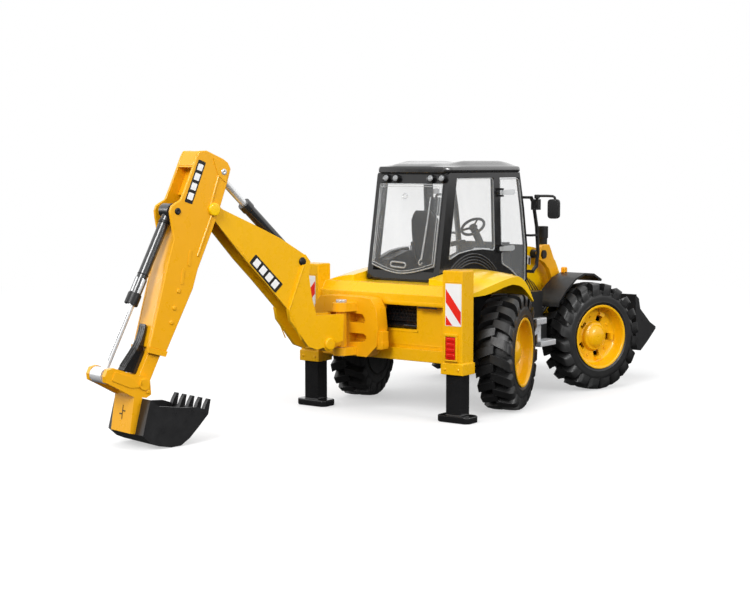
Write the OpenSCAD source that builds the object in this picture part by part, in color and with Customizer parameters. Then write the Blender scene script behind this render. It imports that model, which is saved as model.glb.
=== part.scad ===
// Toy backhoe loader at 1:16: four steered wheels, a cab, a front loader, and a digger that slides
// and swings on a rear frame with two stabiliser legs. Millimetres. Modelled with X to the right,
// Y towards the loader, Z up, the rear wheels' centres near Y = 0 and the ground at Z = 0; place()
// then moves the middle of the length to the origin.

/* [Wheels] */
// Radius over the tread
tyre_r = 44; // [42:0.5:44.5]
// Width of a tyre
tyre_w = 27; // [24:0.5:28]
// Radius of the seat that the tyre sits on
rim_r = 25; // [24:0.5:26]
// Distance from the rear axle to the front axle
wheelbase = 138.7; // [136:0.1:140]
// Half the distance between the two kingpins of an axle
king_x = 56; // [55:0.5:57]
// Distance from a kingpin out to the middle of its wheel
wheel_out = 10; // [9:0.5:11]

/* [Steering] */
// Front wheels, turned clockwise as seen from above
front_turn = 19.9; // [0:0.1:24]
// Rear wheels, turned anticlockwise as seen from above
rear_turn = 15.7; // [0:0.1:16]

/* [Rear frame] */
// Half the width over the two stabiliser towers
tower_out = 73.5; // [72:0.5:75]
// Width of a tower
tower_w = 16.8; // [16:0.1:18]
// Top of the towers
tower_top = 109.2; // [105:0.1:112]

/* [Digger] */
// How far the boom is swung to the left of straight back
boom_turn = 12; // [0:1:20]
// Sideways place of the swing pin
swing_x = -19; // [-20:1:0]

/* [Cab] */
// Half the width of the cab
cab_x = 33; // [32.5:0.5:34]
// Underside of the roof
roof_z = 178.5; // [176:0.5:180]

/* [Loader] */
// Half the width of the loader bucket
shovel_x = 75; // [70:1:76]

/* [Hidden] */
$fn = 48;
mid_y = -33.17; // middle of the whole length
rear_axle_y = -2.7;
front_axle_y = rear_axle_y + wheelbase;
swing_y = -95.5;
pin_r = 2.5;
run = 0.05; // running clearance, on radius
arm_l = 16; // steering arm, from the kingpin back to the tie rod's pin
tower_y = [-75.2, -60];
leg = [13, 12]; // stabiliser leg, across and along
leg_mid = [tower_out - tower_w / 2, (tower_y[0] + tower_y[1]) / 2];
loader_pivot = [110, 111];
shovel_pivot = [192, 36];
lift_foot = [102, 52];
lift_eye = [146, 79];
tilt_foot = [156, 82];
tilt_eye = [190, 63];
// Places in the digger's own plane: how far out from the swing pin, and how high
boom_foot = [19, 55.5];
elbow = [121.1, 154.9];
crowd_foot = [42.8, 116.4]; // base of the dipper ram, on the boom
crowd_eye = [112.5, 180]; // its rod's pin, on the dipper
curl_foot = [150.1, 154.3]; // pivot of the bucket ram, on the dipper
curl_eye = [203.7, 49.4]; // its rod's drum, on the bucket carrier
wrist = [179, 42.2]; // pivot of the bucket carrier

yellow = "#f2b411";
black = "#26272a";
silver = "#c9cbcd";
clear = [0.85, 0.9, 0.92, 0.4];

// ---------------------------------------------------------------- helpers

module place() translate([0, -mid_y, 0]) children();

module both() {
    children();
    mirror([1, 0, 0]) children();
}

// A box between two corners
module block(a, b) translate(a) cube(b - a);

// An outline in (Y, Z), from x0 to x1
module side(pts, x0, x1) translate([x0, 0, 0]) rotate([90, 0, 90])
    linear_extrude(x1 - x0) polygon(pts);

// An outline in (X, Z), from y0 to y1
module face(pts, y0, y1) translate([0, y1, 0]) rotate([90, 0, 0])
    linear_extrude(y1 - y0) polygon(pts);

// An outline in (X, Y), from z0 to z1
module plan(pts, z0, z1) translate([0, 0, z0]) linear_extrude(z1 - z0) polygon(pts);

// A round bar along X at p = (Y, Z)
module bar_x(r, x0, x1, p) translate([x0, p[0], p[1]]) rotate([0, 90, 0])
    cylinder(r = r, h = x1 - x0);

// The digger's plane: X is across it, -Y is reach, swung to the left
module digger() place() translate([swing_x, swing_y, 0]) rotate([0, 0, -boom_turn]) children();

// An outline in (reach, Z), from n0 to n1 across the digger's plane
module web(pts, n0, n1) translate([n1, 0, 0]) rotate([90, 0, -90])
    linear_extrude(n1 - n0) polygon(pts);

// The same outline on both sides of the digger's plane
module cheeks(pts, n0, n1) {
    web(pts, n0, n1);
    web(pts, -n1, -n0);
}

// A round bar across the digger's plane at p = (reach, Z)
module bar_n(r, n0, n1, p) bar_x(r, n0, n1, [-p[0], p[1]]);

// Two short bars across the digger's plane, one on each side
module bosses(r, n0, n1, p) {
    bar_n(r, n0, n1, p);
    bar_n(r, -n1, -n0, p);
}

// Children are drawn with Z running from a towards b, both (reach, Z) places
module along(a, b) translate([0, -a[0], a[1]])
    rotate([90 - atan2(b[1] - a[1], b[0] - a[0]), 0, 0]) children();

// The same for places given as (Y, Z), at sideways place x
module along_y(a, b, x) translate([x, a[0], a[1]])
    rotate([atan2(b[1] - a[1], b[0] - a[0]) - 90, 0, 0]) children();

function far(a, b) = norm(b - a);

// ---------------------------------------------------------------- wheels and steering

// Children are drawn about a kingpin; side_x is 1 on the right, -1 on the left, and the wheel is
// towards +X, so the left side is turned half round
module corner(side_x, axle_y, turn) place() translate([side_x * king_x, axle_y, 0])
    rotate([0, 0, turn + (side_x < 0 ? 180 : 0)]) children();

module tyre(side_x, axle_y, turn) {
    w = tyre_w / 2;
    profile = [[rim_r, -w + 1], [rim_r + 3, -w], [tyre_r - 6, -w], [tyre_r - 1.5, -w + 1],
        [tyre_r, -w + 3.5], [tyre_r, w - 3.5], [tyre_r - 1.5, w - 1], [tyre_r - 6, w],
        [rim_r + 3, w], [rim_r, w - 1]];
    color(black) corner(side_x, axle_y, turn) translate([wheel_out, 0, tyre_r])
        rotate([0, 90, 0]) rotate_extrude($fn = 96) polygon(profile);
}

module rim(side_x, axle_y, turn) {
    w = tyre_w / 2 - 1;
    color(yellow) corner(side_x, axle_y, turn) translate([wheel_out, 0, tyre_r])
        rotate([0, 90, 0]) difference() {
            union() {
                difference() {
                    translate([0, 0, -w]) cylinder(r = rim_r, h = 2 * w + 0.8, $fn = 96);
                    translate([0, 0, -w - 1]) cylinder(r = rim_r - 1.6, h = 2 * w + 3);
                }
                cylinder(r = rim_r - 1, h = 2);
                translate([0, 0, -4]) cylinder(r = 9, h = 9);
                translate([0, 0, 4.9]) cylinder(r = 7, h = 1.6);
            }
            translate([0, 0, -5]) cylinder(r = 3 + run, h = 9);
            for (a = [0 : 72 : 288]) rotate([0, 0, a]) translate([15, -2.5, -1]) cube([3.6, 5, 4]);
        }
}

module knuckle(side_x, axle_y, turn) {
    back = side_x < 0 ? 1 : -1; // the arm points to the rear of the vehicle on both sides
    color(black) corner(side_x, axle_y, turn) {
        translate([0, 0, tyre_r - 6]) cylinder(r = 4.5, h = 12);
        translate([0, 0, tyre_r - 10]) cylinder(r = 2, h = 20);
        bar_x(4.5, 0, wheel_out - 4.2, [0, tyre_r]);
        bar_x(3, 0, wheel_out + 3.7, [0, tyre_r]);
        difference() {
            union() {
                block([-2.5, back > 0 ? 0 : -arm_l, tyre_r - 5],
                    [2.5, back > 0 ? arm_l : 0, tyre_r - 1.5]);
                translate([0, back * arm_l, tyre_r - 5]) cylinder(r = 3, h = 3.5);
            }
            translate([0, 0, tyre_r - 6]) cylinder(r = 4, h = 6);
        }
        translate([0, back * arm_l, tyre_r - 1.6]) cylinder(r = 1.5, h = 5.6);
    }
}

module tie_rod(axle_y, turn) {
    end_x = arm_l * sin(turn);
    end_y = axle_y - arm_l * cos(turn);
    z = tyre_r - 1.3;
    color(black) place() difference() {
        union() {
            for (s = [-1, 1]) translate([s * king_x + end_x, end_y, z]) cylinder(r = 3.2, h = 3.5);
            translate([end_x, end_y, z + 1.75]) rotate([0, 90, 0])
                cylinder(r = 1.7, h = 2 * king_x - 4, center = true);
        }
        for (s = [-1, 1]) translate([s * king_x + end_x, end_y, z - 1])
            cylinder(r = 1.5 + run, h = 6);
    }
}

// ---------------------------------------------------------------- chassis and rear frame

// Cross beam with a forked end round each kingpin
module axle_beam(axle_y) translate([0, axle_y, 0]) {
    block([-46, -6, tyre_r - 6.5], [46, 6, tyre_r + 6.5]);
    both() difference() {
        union() {
            block([44, -5, tyre_r - 10.5], [48, 5, tyre_r + 10.5]);
            for (z = [tyre_r - 10.5, tyre_r + 6.3]) {
                block([46, -5, z], [king_x, 5, z + 4.2]);
                translate([king_x, 0, z]) cylinder(r = 5, h = 4.2);
            }
        }
        translate([king_x, 0, tyre_r - 12]) cylinder(r = 2 + run, h = 24);
    }
}

module chassis() {
    color(black) place() {
        difference() {
            side([[-57.6, 43], [-40, 41], [0, 36], [50, 34], [148, 34], [158, 40], [158, 58],
                [90, 58], [88, 83.8],
                [81.2, 83.8], [80, 97.5], [-41.2, 97.5], [-41.8, 90.8], [-57.6, 84]], -22, 22);
            for (y = [rear_axle_y, front_axle_y])
                block([-30, y - 21, tyre_r - 3], [30, y - 9, tyre_r + 6]);
        }
        axle_beam(rear_axle_y);
        axle_beam(front_axle_y);
        // side tanks under the doors, joined to the middle box
        both() {
            block([21, 52, 42], [55, 78, 64]);
            block([21, 46, 62], [50, 80, 84]);
        }
        // pins that the loader arms and their rams turn on
        both() {
            block([18, lift_foot[0] - 5, 40], [23, lift_foot[0] + 5, 56]);
            bar_x(1.8, 20, 28.6, lift_foot);
            bar_x(3.5, 20, 34.4, loader_pivot);
        }
        side([[94, 56], [100, 112.2], [112, 111.4], [122, 104], [122, 56]], -20.5, 20.5);
    }
}

module tower_shape(grow) {
    block([tower_out - tower_w - grow, tower_y[0] - grow, 34.8],
        [tower_out + grow, tower_y[1] + grow, 43]);
    block([tower_out - tower_w, tower_y[0], 34.8], [tower_out, tower_y[1], tower_top]);
}

module rear_frame() {
    color(yellow) place() {
        side([[-60, 97], [-65.5, 97], [-70.5, 90.5], [-72.5, 90.5], [-72.5, 82.2], [-70.5, 82.2],
            [-70.5, 85], [-60, 85]], -57, 57);
        side([[-60, 41.5], [-71, 41.5], [-71, 50.5], [-69, 50.5], [-69, 48.5], [-60, 48.5]],
            -57, 57);
        difference() {
            block([-57, -66, 48], [57, -60, 85.5]);
            block([-28, -67, 64], [28, -59, 82.5]);
        }
        both() difference() {
            tower_shape(0.9);
            block([leg_mid[0] - leg[0] / 2 - 0.3, leg_mid[1] - leg[1] / 2 - 0.3, 30],
                [leg_mid[0] + leg[0] / 2 + 0.3, leg_mid[1] + leg[1] / 2 + 0.3, tower_top - 1.5]);
        }
    }
}

module rear_grille() color(black) place() {
    block([-30, -59.9, 62], [30, -57.9, 84.4]);
    for (z = [70 : 3.2 : 80]) block([-27.5, -61, z], [27.5, -59.8, z + 1.6]);
    block([-27.5, -63, 64.6], [27.5, -59.8, 67.4]);
}

module stabiliser() color(black) place() {
    translate([leg_mid[0], leg_mid[1], 4]) translate([-leg[0] / 2, -leg[1] / 2, 0])
        cube([leg[0], leg[1], 76]);
    translate([leg_mid[0], leg_mid[1], 0]) linear_extrude(5)
        polygon([[-14, -5], [-11, -8], [11, -8], [14, -5], [14, 5], [11, 8], [-11, 8], [-14, 5]]);
}

module tail_lamps() color("#c4161c") place() both()
    block([60.6, tower_y[0] - 1.8, 46], [68.8, tower_y[0], 62]);

// ---------------------------------------------------------------- body and cab

module body_shell() {
    // outline of a rear wheel arch, its lower edge, and its section from the cab outwards
    crown = [[-60, 102], [-40, 104.5], [-20, 106], [5, 105.3], [14, 101], [22, 92.5], [30.7, 80.5]];
    lip = [[28.6, 80.8], [21.5, 87.5], [11, 93.5], [-2, 94.5], [-20, 93], [-33, 91], [-60, 91]];
    section = [[34.5, 60], [34.5, 106.5], [45, 106], [60, 103.5], [68, 101], [71, 98.6], [71, 60]];
    under = [[29.2, 80.5], [19, 90.3], [11.8, 98.8], [4, 102.9], [-20, 103.6], [-40, 102.1],
        [-61, 99.5], [-61, 60], [29.2, 60]];
    hollow = [[36, 50], [36, 104], [45, 103.6], [59.6, 101.2], [67.2, 98.8], [69.2, 97.2], [69.2, 50]];
    color(yellow) place() {
        block([-57, -60, 91], [57, -42, 97]);
        both() difference() {
            intersection() {
                side(concat(crown, lip), 34.5, 71);
                face(section, -60, 40);
            }
            intersection() {
                side(under, 35, 70);
                face(hollow, -62, 40);
            }
        }
        // sill under the doors
        both() side([[12, 91], [12, 98.2], [55, 98.2], [79, 85.5], [79, 84], [30, 84], [27, 91]],
            30.1, 36.4);
    }
}

module cab_floor() color("#3a3b3e") place() {
    block([-30, -40.7, 97.5], [30, 40, 100.5]);
    block([-30, 40, 97.5], [30, 82, 99.5]);
    block([-29.9, 81.5, 84], [29.9, 84, 120.2]); // wall in front of the driver's feet
    both() side([[-38, 100], [-31, 112], [-5, 118], [30, 115.5], [33, 100]], 22, 30);
    side([[66, 99], [70, 122], [78, 122], [80.5, 99]], -20, 20);
    translate([0, 68, 118]) rotate([40, 0, 0]) difference() {
        cylinder(r = 3, h = 20); // steering column
        translate([0, 0, 11]) cylinder(r = 1.5 + run, h = 12);
    }
}

rear_lean = atan(14 / 78.5);
hinge_at = [35.6, 40.2]; // axis of a door's hinges
hinge_z = [119, 163];

module rear_plane() place() translate([0, -45, 99]) rotate([-rear_lean, 0, 0]) children();

module cab_frame() {
    outline = [[-44.6, 98.2], [-31, 177], [-30, roof_z], [71, roof_z], [72.5, 173], [78.5, 150],
        [84, 120], [84, 92], [80, 85.5], [56, 98.2]];
    quarter = [[-31.5, 113], [-20.5, 174.5], [31.5, 174.5], [34.6, 117.5], [17, 119.4],
        [0, 119.4], [-17, 117.6]];
    door = [[40.5, 174.5], [44.4, 106.5], [57, 101.5], [68, 95], [79, 88.5], [81.6, 92],
        [81.6, 119.6], [76, 149.6], [70, 174.5]];
    color(black) {
        place() both() difference() {
            side(outline, cab_x - 3, cab_x);
            side(quarter, 0, 50);
            side(door, 0, 50);
        }
        rear_plane() difference() {
            block([-cab_x, 0, 0], [cab_x, 2.6, 79.5]);
            block([-28, -1, 6], [28, 4, 73]);
        }
        // lugs and pins that the door straps turn on
        place() both() for (z = hinge_z) {
            for (d = [-3.4, 1.9]) {
                translate([hinge_at[0], hinge_at[1], z + d]) cylinder(r = 1.3, h = 1.5, $fn = 24);
                block([cab_x - 0.5, hinge_at[1] - 1.3, z + d],
                    [hinge_at[0], hinge_at[1] + 1.3, z + d + 1.5]);
            }
            translate([hinge_at[0], hinge_at[1], z - 3]) cylinder(r = 0.6, h = 6, $fn = 24);
        }
        place() {
            block([-cab_x, -30, roof_z - 4], [cab_x, -26.5, roof_z]);
            block([-cab_x, 67.5, roof_z - 4], [cab_x, 71, roof_z]);
            block([-cab_x, -43, 97.6], [cab_x, -40.8, 101]);
        }
    }
}

module roof() color(black) place() difference() {
    union() {
        plan([[-33, -29], [-30, -33.5], [30, -33.5], [33, -29], [34, 20], [33.5, 70], [30, 76],
            [15, 82], [-15, 82], [-30, 76], [-33.5, 70], [-34, 20]], roof_z, roof_z + 5.5);
        plan([[-30, -26], [-27, -30], [27, -30], [30, -26], [31, 20], [30.5, 67], [27, 72],
            [13, 78], [-13, 78], [-27, 72], [-30.5, 67], [-31, 20]], roof_z + 5.4, roof_z + 9);
    }
    block([-26, 10, roof_z - 1], [26, 60, roof_z + 5]);
}

module work_lamps() color(silver) rear_plane() for (x = [-23, -14, 18, 28])
    translate([x, 0, 76.3]) rotate([90, 0, 0]) cylinder(r = 3.1, h = 3.5);

module rear_window() color(clear) rear_plane() block([-27.7, 0.5, 6.3], [27.7, 2, 72.7]);

module cab_windows() color(clear) place() {
    both() side([[-31.4, 113.1], [-20.5, 174.4], [31.4, 174.4], [34.5, 117.6], [17, 119.5],
        [0, 119.5], [-17, 117.7]], cab_x - 2.2, cab_x - 0.8);
    side([[71.4, 173.6], [77.4, 150], [82.9, 120.4], [84, 120.4], [78.6, 150.2], [72.6, 173.6]],
        -cab_x + 3.2, cab_x - 3.2);
}

module door() color(clear) place() {
    side([[40.9, 174.1], [44.8, 107], [57.2, 102], [68.2, 95.5], [78.9, 89.2], [81.2, 92.2],
        [81.2, 119.5], [75.6, 149.5], [69.7, 174.1]], cab_x - 2.2, cab_x - 0.6);
    // hinge straps that reach over the pillar
    for (z = hinge_z) {
        difference() {
            union() {
                translate([hinge_at[0], hinge_at[1], z - 1.5])
                    cylinder(r = 1.2, h = 3, $fn = 24);
                block([hinge_at[0] - 1.2, hinge_at[1], z - 1.5], [hinge_at[0] + 0.3, 51, z + 1.5]);
            }
            translate([hinge_at[0], hinge_at[1], z - 2])
                cylinder(r = 0.6 + run, h = 4, $fn = 24);
        }
        block([cab_x - 1.2, 47.5, z - 1.5], [hinge_at[0] - 0.4, 51, z + 1.5]);
    }
}

module seat() color("#2b2b2d") place() {
    side([[-6, 100.5], [-9, 112], [24, 114], [20, 100.5]], -13, 13);
    side([[-12, 106], [-20, 150], [-13, 151], [-2, 106]], -13, 13);
    both() block([13.5, -6, 122], [17.5, 18, 125]);
    both() block([12.5, -10, 116], [16.5, -4, 124]);
}

module steering_wheel() color(black) place() translate([0, 68, 118]) rotate([40, 0, 0]) {
    translate([0, 0, 22]) rotate_extrude() translate([9.5, 0]) circle(r = 1.3, $fn = 24);
    translate([0, 0, 20.4]) cylinder(r = 3.6, h = 2.6);
    translate([0, 0, 12]) cylinder(r = 1.5, h = 9);
    for (a = [90, 210, 330]) rotate([0, 0, a]) translate([2, -1.2, 21.2]) cube([7.4, 2.4, 1.4]);
}

module bonnet() color(yellow) place() difference() {
    side([[84.2, 84.4], [84.2, 120], [112, 116.6], [138, 110.5], [149, 103.5], [157, 92],
        [162, 82], [162, 60], [93, 60], [93, 84.4]], -22.5, 22.5);
    side([[90, 50], [90, 114], [112, 112.8], [136, 107.5], [147, 101], [155, 90.5], [160, 81],
        [160, 50]], -20.7, 20.7);
    bar_x(3.6, -30, 30, loader_pivot);
}

module front_grille() color(black) place() {
    side([[149, 103.5], [150, 104.3], [158.3, 92.5], [163.4, 82.3], [163.4, 64], [162, 64],
        [162, 82], [157, 92]], -20, 20);
    for (z = [67 : 4 : 79]) block([-17, 163.2, z], [17, 164.2, z + 2]);
}

module exhaust() color(black) place() translate([17.3, 136, 104]) {
    difference() {
        union() {
            cylinder(r = 3.9, h = 19);
            translate([0, 0, 18.9]) cylinder(r = 4.6, h = 10);
        }
        translate([0, 0, 20]) cylinder(r = 3.6, h = 12);
        rotate([-13.2, 0, 0]) translate([-9, -9, -9]) cube([18, 18, 15.97]);
    }
}

module front_fenders() color(black) place() both() {
    side([[91, 70.5], [93, 74.4], [105, 83.4], [120, 91.6], [136, 95.2], [152, 93.8], [166, 88.2],
        [165, 86.6], [151.6, 92.1], [136, 93.4], [121, 90], [106, 81.8], [94.6, 73.2],
        [92.4, 69.8]], 35.5, 58);
    side([[90.5, 48], [91, 70.5], [93, 74.4], [105, 83.4], [112, 87.2], [112, 82], [100, 72],
        [95, 48]], 35.4, 36.6);
    block([22, 90.5, 48], [36, 95, 57.8]);
}

module steps() color(silver) place() both() {
    block([55, 53, 59], [61, 68, 64]);
    block([55, 52, 42], [65, 76, 46.5]);
    block([55, 55, 46], [57, 66, 60]);
}

mirror_at = [42.6, 82.2]; // axis that a mirror folds on

module mirror_rails() color(black) place() both() {
    x = cab_x + 4.5;
    rail = [[74.8, 159.5], [80, 159.5], [84, 155], [90, 135], [92.5, 114], [90, 102],
        [82.5, 97.5]];
    inner = [[82.5, 99.8], [88.3, 103.5], [90.4, 114], [88, 134.6], [82.3, 154], [79.2, 157.4],
        [74.8, 157.4]];
    side(concat(rail, inner), x, x + 2.2);
    block([cab_x, 74.8, 157.4], [x + 2.2, 77.4, 159.5]);
    block([cab_x, 82.5, 97.5], [x + 2.2, 84.4, 99.8]);
    block([cab_x, 80, 127], [x + 1, 82, 128.8]);
    block([x, 81, 127], [x + 2.2, 91, 128.8]);
    block([x + 1, 79.7, 148.5], [mirror_at[0] + 2.2, 84.6, 157]);
    translate([mirror_at[0], mirror_at[1], 156]) cylinder(r = 1.1, h = 4, $fn = 24);
}

module mirror_head() color(black) place() translate([mirror_at[0], mirror_at[1], 0])
    difference() {
        union() {
            translate([0, 0, 157.3]) cylinder(r = 2.2, h = 3.4, $fn = 24);
            rotate([0, 0, 14]) {
                block([0, -1, 158.6], [16, 1, 160.6]);
                block([13.6, -1, 156.5], [16, 1, 160.6]);
                block([9.2, -2, 141.6], [18.8, 2, 157.4]);
            }
        }
        translate([0, 0, 156]) cylinder(r = 1.1 + run, h = 4.3, $fn = 24);
    }

// ---------------------------------------------------------------- digger mount

module carriage() {
    mid = -21.5;
    outline = [[28.5, 52], [30, 66], [28.5, 80], [23.5, 87], [14, 88], [-14, 88], [-23.5, 87],
        [-28.5, 80], [-30, 66], [-28.5, 52], [-20, 44], [20, 44]];
    slot_top = [[4, 69], [18, 69], [18.5, 72], [16, 75.4], [4, 76]];
    slot_low = [[4, 54], [17, 55], [19.6, 57], [19.6, 59.5], [17, 61], [4, 61]];
    color(yellow) place() difference() {
        union() {
            translate([mid, 0, 0]) face(outline, -88, -75.5);
            for (z = [[45, 51], [77.4, 84]]) {
                translate([swing_x, swing_y, z[0]]) cylinder(r = 6.5, h = z[1] - z[0]);
                plan([[swing_x - 9, -87], [swing_x - 6.3, swing_y - 1], [swing_x + 6.3, swing_y - 1],
                    [swing_x + 9, -87]], z[0], z[1]);
            }
            // hooks behind the two rails of the frame
            side([[-76, 79], [-67.9, 79], [-67.9, 84.6], [-70.2, 84.6], [-70.2, 81.8], [-76, 81.8]],
                mid - 24, mid + 24);
            side([[-76, 50.9], [-76, 61], [-66.4, 61], [-66.4, 48.9], [-68.6, 48.9],
                [-68.6, 50.9]], mid - 24, mid + 24);
        }
        for (s = [-1, 1]) translate([mid, 0, 0]) scale([s, 1, 1]) {
            face(slot_top, -89, -79);
            face(slot_low, -89, -79);
        }
        translate([swing_x, swing_y, 40]) cylinder(r = pin_r, h = 50);
    }
}

module swing_pin() color(silver) place() translate([swing_x, swing_y, 0]) {
    translate([0, 0, 44]) cylinder(r = pin_r, h = 40);
    translate([0, 0, 84]) cylinder(r = 4, h = 2);
}

module kingpost() color(yellow) digger() difference() {
    union() {
        translate([0, 0, 51.3]) cylinder(r = 3.9, h = 25.8);
        web([[0, 53], [0, 75], [5, 74], [19, 61], [19, 50], [8, 52]], -2.8, 2.8);
        bar_n(5.5, -5.7, 5.7, boom_foot);
    }
    translate([0, 0, 50]) cylinder(r = pin_r + run, h = 30);
    bar_n(pin_r + run, -7, 7, boom_foot);
}

// ---------------------------------------------------------------- boom and dipper

module boom() {
    outline = [[5.2, 76.3], [31, 77], [35.5, 91.4], [37.9, 107], [36.4, 116], [40.8, 121.3],
        [62.5, 133.6], [84.6, 143.3], [112.4, 155], [119.5, 162.2], [127.6, 158.6], [116.9, 145.6],
        [93, 119.8], [76.8, 104.1], [56.4, 83.3], [54.8, 75], [38.6, 55.2], [30.6, 52.2],
        [24.6, 53.4], [19, 50], [13.5, 55.5], [6.1, 57]];
    foot = [for (p = outline) if (p[0] < 60 && p[1] < 130) p];
    color(yellow) digger() difference() {
        union() {
            cheeks(outline, 6, 7.5);
            cheeks(foot, 7.4, 9);
            bosses(5.5, 6, 9, boom_foot);
            bar_n(7.5, -7.5, 7.5, elbow);
            // top of the tip, back of the foot, and the floor under the ram
            web([[96, 148.1], [112.4, 155], [116, 157], [117, 154], [113, 153], [96.7, 146.2]],
                -6.2, 6.2);
            web([[31, 77], [35.5, 91.4], [37.9, 107], [36.4, 114], [38.4, 114], [40, 107],
                [37.6, 91], [33.1, 77]], -6.2, 6.2);
            web([[38, 85], [38, 87.4], [76, 126], [97.5, 143.5], [98.5, 141.5], [77, 123.8]],
                -6.2, 6.2);
        }
        bar_n(3 + run, -12, 12, elbow);
        bar_n(pin_r, -12, 12, boom_foot);
        bar_n(2, -12, 12, crowd_foot);
    }
}

module boom_pins() color(silver) digger() {
    bar_n(pin_r, -10.6, 10.6, boom_foot);
    bosses(4.6, 9, 10.6, boom_foot);
    bosses(2, 6.1, 9.8, crowd_foot);
}

// The dipper's two lower walls run along the bucket ram, and the inner dipper slides between them
slide_dir = (curl_eye - curl_foot) / far(curl_foot, curl_eye);

// A place s up from the wrist along the slide and w out from it
function on_slide(s, w) = wrist - slide_dir * s + [-slide_dir[1], slide_dir[0]] * w;

module dipper() {
    outline = [[106.3, 182], [110.4, 187.5], [125.9, 194.1], [131.9, 194.1], [135.4, 187],
        [144.2, 168.5], [149, 160.5], [154, 158.5], [155.7, 154.3], [155.6, 149.7], [153.2, 136.1],
        [158.6, 119], [173.5, 65.8], [160.1, 62], [138.4, 102.5], [134.3, 115.1], [121.8, 141.6],
        [114.8, 158.1], [109.2, 173.1]];
    color(yellow) digger() difference() {
        union() {
            cheeks(outline, 8, 10);
            web([[110.4, 187.5], [125.9, 194.1], [131.9, 194.1], [135.4, 187], [144.2, 168.5],
                [142.4, 167.6], [133.7, 186], [130.8, 192.1], [126.3, 192.1], [111.3, 185.8]],
                -8.1, 8.1);
            web([[143.6, 147], [146, 147.6], [152.4, 134], [158.6, 119], [173.5, 65.8],
                [171.7, 65.2], [156.8, 118.4], [150.6, 133.4]], -8.1, 8.1);
            web([on_slide(27.6, -7.8), on_slide(27.6, -6.2), on_slide(73, -6.2),
                on_slide(73, -7.8)], -8.1, 8.1);
        }
        bar_n(3, -12, 12, elbow);
        for (p = [crowd_eye, curl_foot]) bar_n(2, -12, 12, p);
    }
}

module dipper_pins() color(silver) digger() {
    bar_n(3, -11, 11, elbow);
    bosses(4.2, 10, 11, elbow);
    for (p = [crowd_eye, curl_foot]) {
        bar_n(2, -10.8, 10.8, p);
        bosses(3.2, 10, 10.8, p);
    }
}

module inner_dipper() color(yellow) digger() difference() {
    union() {
        web([on_slide(2, -5.9), on_slide(78, -5.9), on_slide(78, 3.6), on_slide(2, 3.6)],
            -7.6, 7.6);
        bar_n(5.2, -7.6, 7.6, wrist);
    }
    web([on_slide(14, -4.2), on_slide(80, -4.2), on_slide(80, 2), on_slide(14, 2)], -6, 6);
    bar_n(pin_r + run, -12, 12, wrist);
}

module hose_guard() color(black) digger() web([on_slide(6, 3.6), on_slide(20, 3.6),
    on_slide(22.6, 6.4), on_slide(27, 7.4), on_slide(38, 10), on_slide(38, 12), on_slide(26, 9.8),
    on_slide(13, 9.2), on_slide(6, 9.4)], -3.6, 3.6);

module dipper_ram_rod() color(silver) digger() {
    difference() {
        union() {
            bar_n(4.8, -6, 6, crowd_eye);
            along(crowd_eye, crowd_foot) cylinder(r = 2.5, h = 60);
        }
        bar_n(2 + run, -12, 12, crowd_eye);
    }
}

module dipper_ram_barrel() color(black) digger() difference() {
    union() {
        bar_n(4.6, -4.5, 4.5, crowd_foot);
        along(crowd_foot, crowd_eye) cylinder(r = 4, h = 60);
        along(crowd_foot, crowd_eye) translate([0, 0, 56]) cylinder(r = 4.6, h = 6);
    }
    along(crowd_foot, crowd_eye) translate([0, 0, 12]) cylinder(r = 2.5 + run, h = 60);
}

module bucket_ram_barrel() color(black) digger() difference() {
    union() {
        bar_n(5.2, -5.2, 5.2, curl_foot);
        along(curl_foot, curl_eye) cylinder(r = 3.6, h = 66);
        along(curl_foot, curl_eye) translate([0, 0, 61]) cylinder(r = 4.3, h = 7);
    }
    along(curl_foot, curl_eye) translate([0, 0, 5.4]) cylinder(r = 2.7 + run, h = 80);
    bar_n(2, -12, 12, curl_foot);
}

module bucket_ram_rod() color(silver) digger() {
    l = far(curl_foot, curl_eye);
    along(curl_eye, curl_foot) cylinder(r = 2.7, h = l - 26);
    difference() {
        bar_n(5.2, -6.6, 6.6, curl_eye);
        bar_n(2.6, 4.5, 9, curl_eye);
    }
}

module bucket_carrier() {
    arm = [[208.5, 50], [206.5, 54], [202, 55], [187.5, 49.6], [180.6, 48.4], [174.4, 45.5],
        [173.6, 35], [177.4, 33.1], [187.7, 34.9], [202, 42.9], [208, 46]];
    plate = [[180.6, 33], [181.4, 35], [186.6, 36], [190.4, 11], [186.6, 10.2]];
    color(yellow) digger() difference() {
        union() {
            cheeks(arm, 8, 11.5);
            web([[175, 34.4], [177.4, 33.1], [187.6, 34.9], [187.2, 36.6], [177.6, 34.9]],
                -8.1, 8.1);
            web(plate, -11.5, 11.5);
            bosses(pin_r + 1.2, 11, 12.6, wrist);
        }
        bar_n(pin_r, -14, 14, wrist);
    }
    color(silver) digger() bar_n(pin_r, -12.6, 12.6, wrist);
}

module digger_bucket() {
    half = 21;
    outer = [[180.6, 33], [186.6, 10.2], [180.4, 4.6], [174.4, 2], [165, 0.1], [157, 0.4],
        [150, 4.6], [142.7, 11.3], [135, 18.8], [135, 21.4]];
    inner = [[136, 21.4], [143.9, 13.2], [151.2, 6.6], [157.6, 2.5], [165, 2.1], [173.8, 4],
        [179.2, 6.8], [184.2, 11], [178.6, 32.6]];
    rim_line = [[180.6, 33], [173.6, 28.2], [155, 25.4], [144, 24.6], [135, 21.4]];
    color(black) digger() {
        web(concat(outer, inner), -half, half);
        for (n = [[-half, -half + 1.8], [half - 1.8, half]])
            web(concat(outer, [for (i = [4 : -1 : 1]) rim_line[i]]), n[0], n[1]);
        for (n = [-18.6 : 9.3 : 18.6])
            web([[140, 17], [136.6, 25], [134, 29], [132.4, 28.6], [134.4, 19]], n - 1.7, n + 1.7);
    }
}

// ---------------------------------------------------------------- loader

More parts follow.
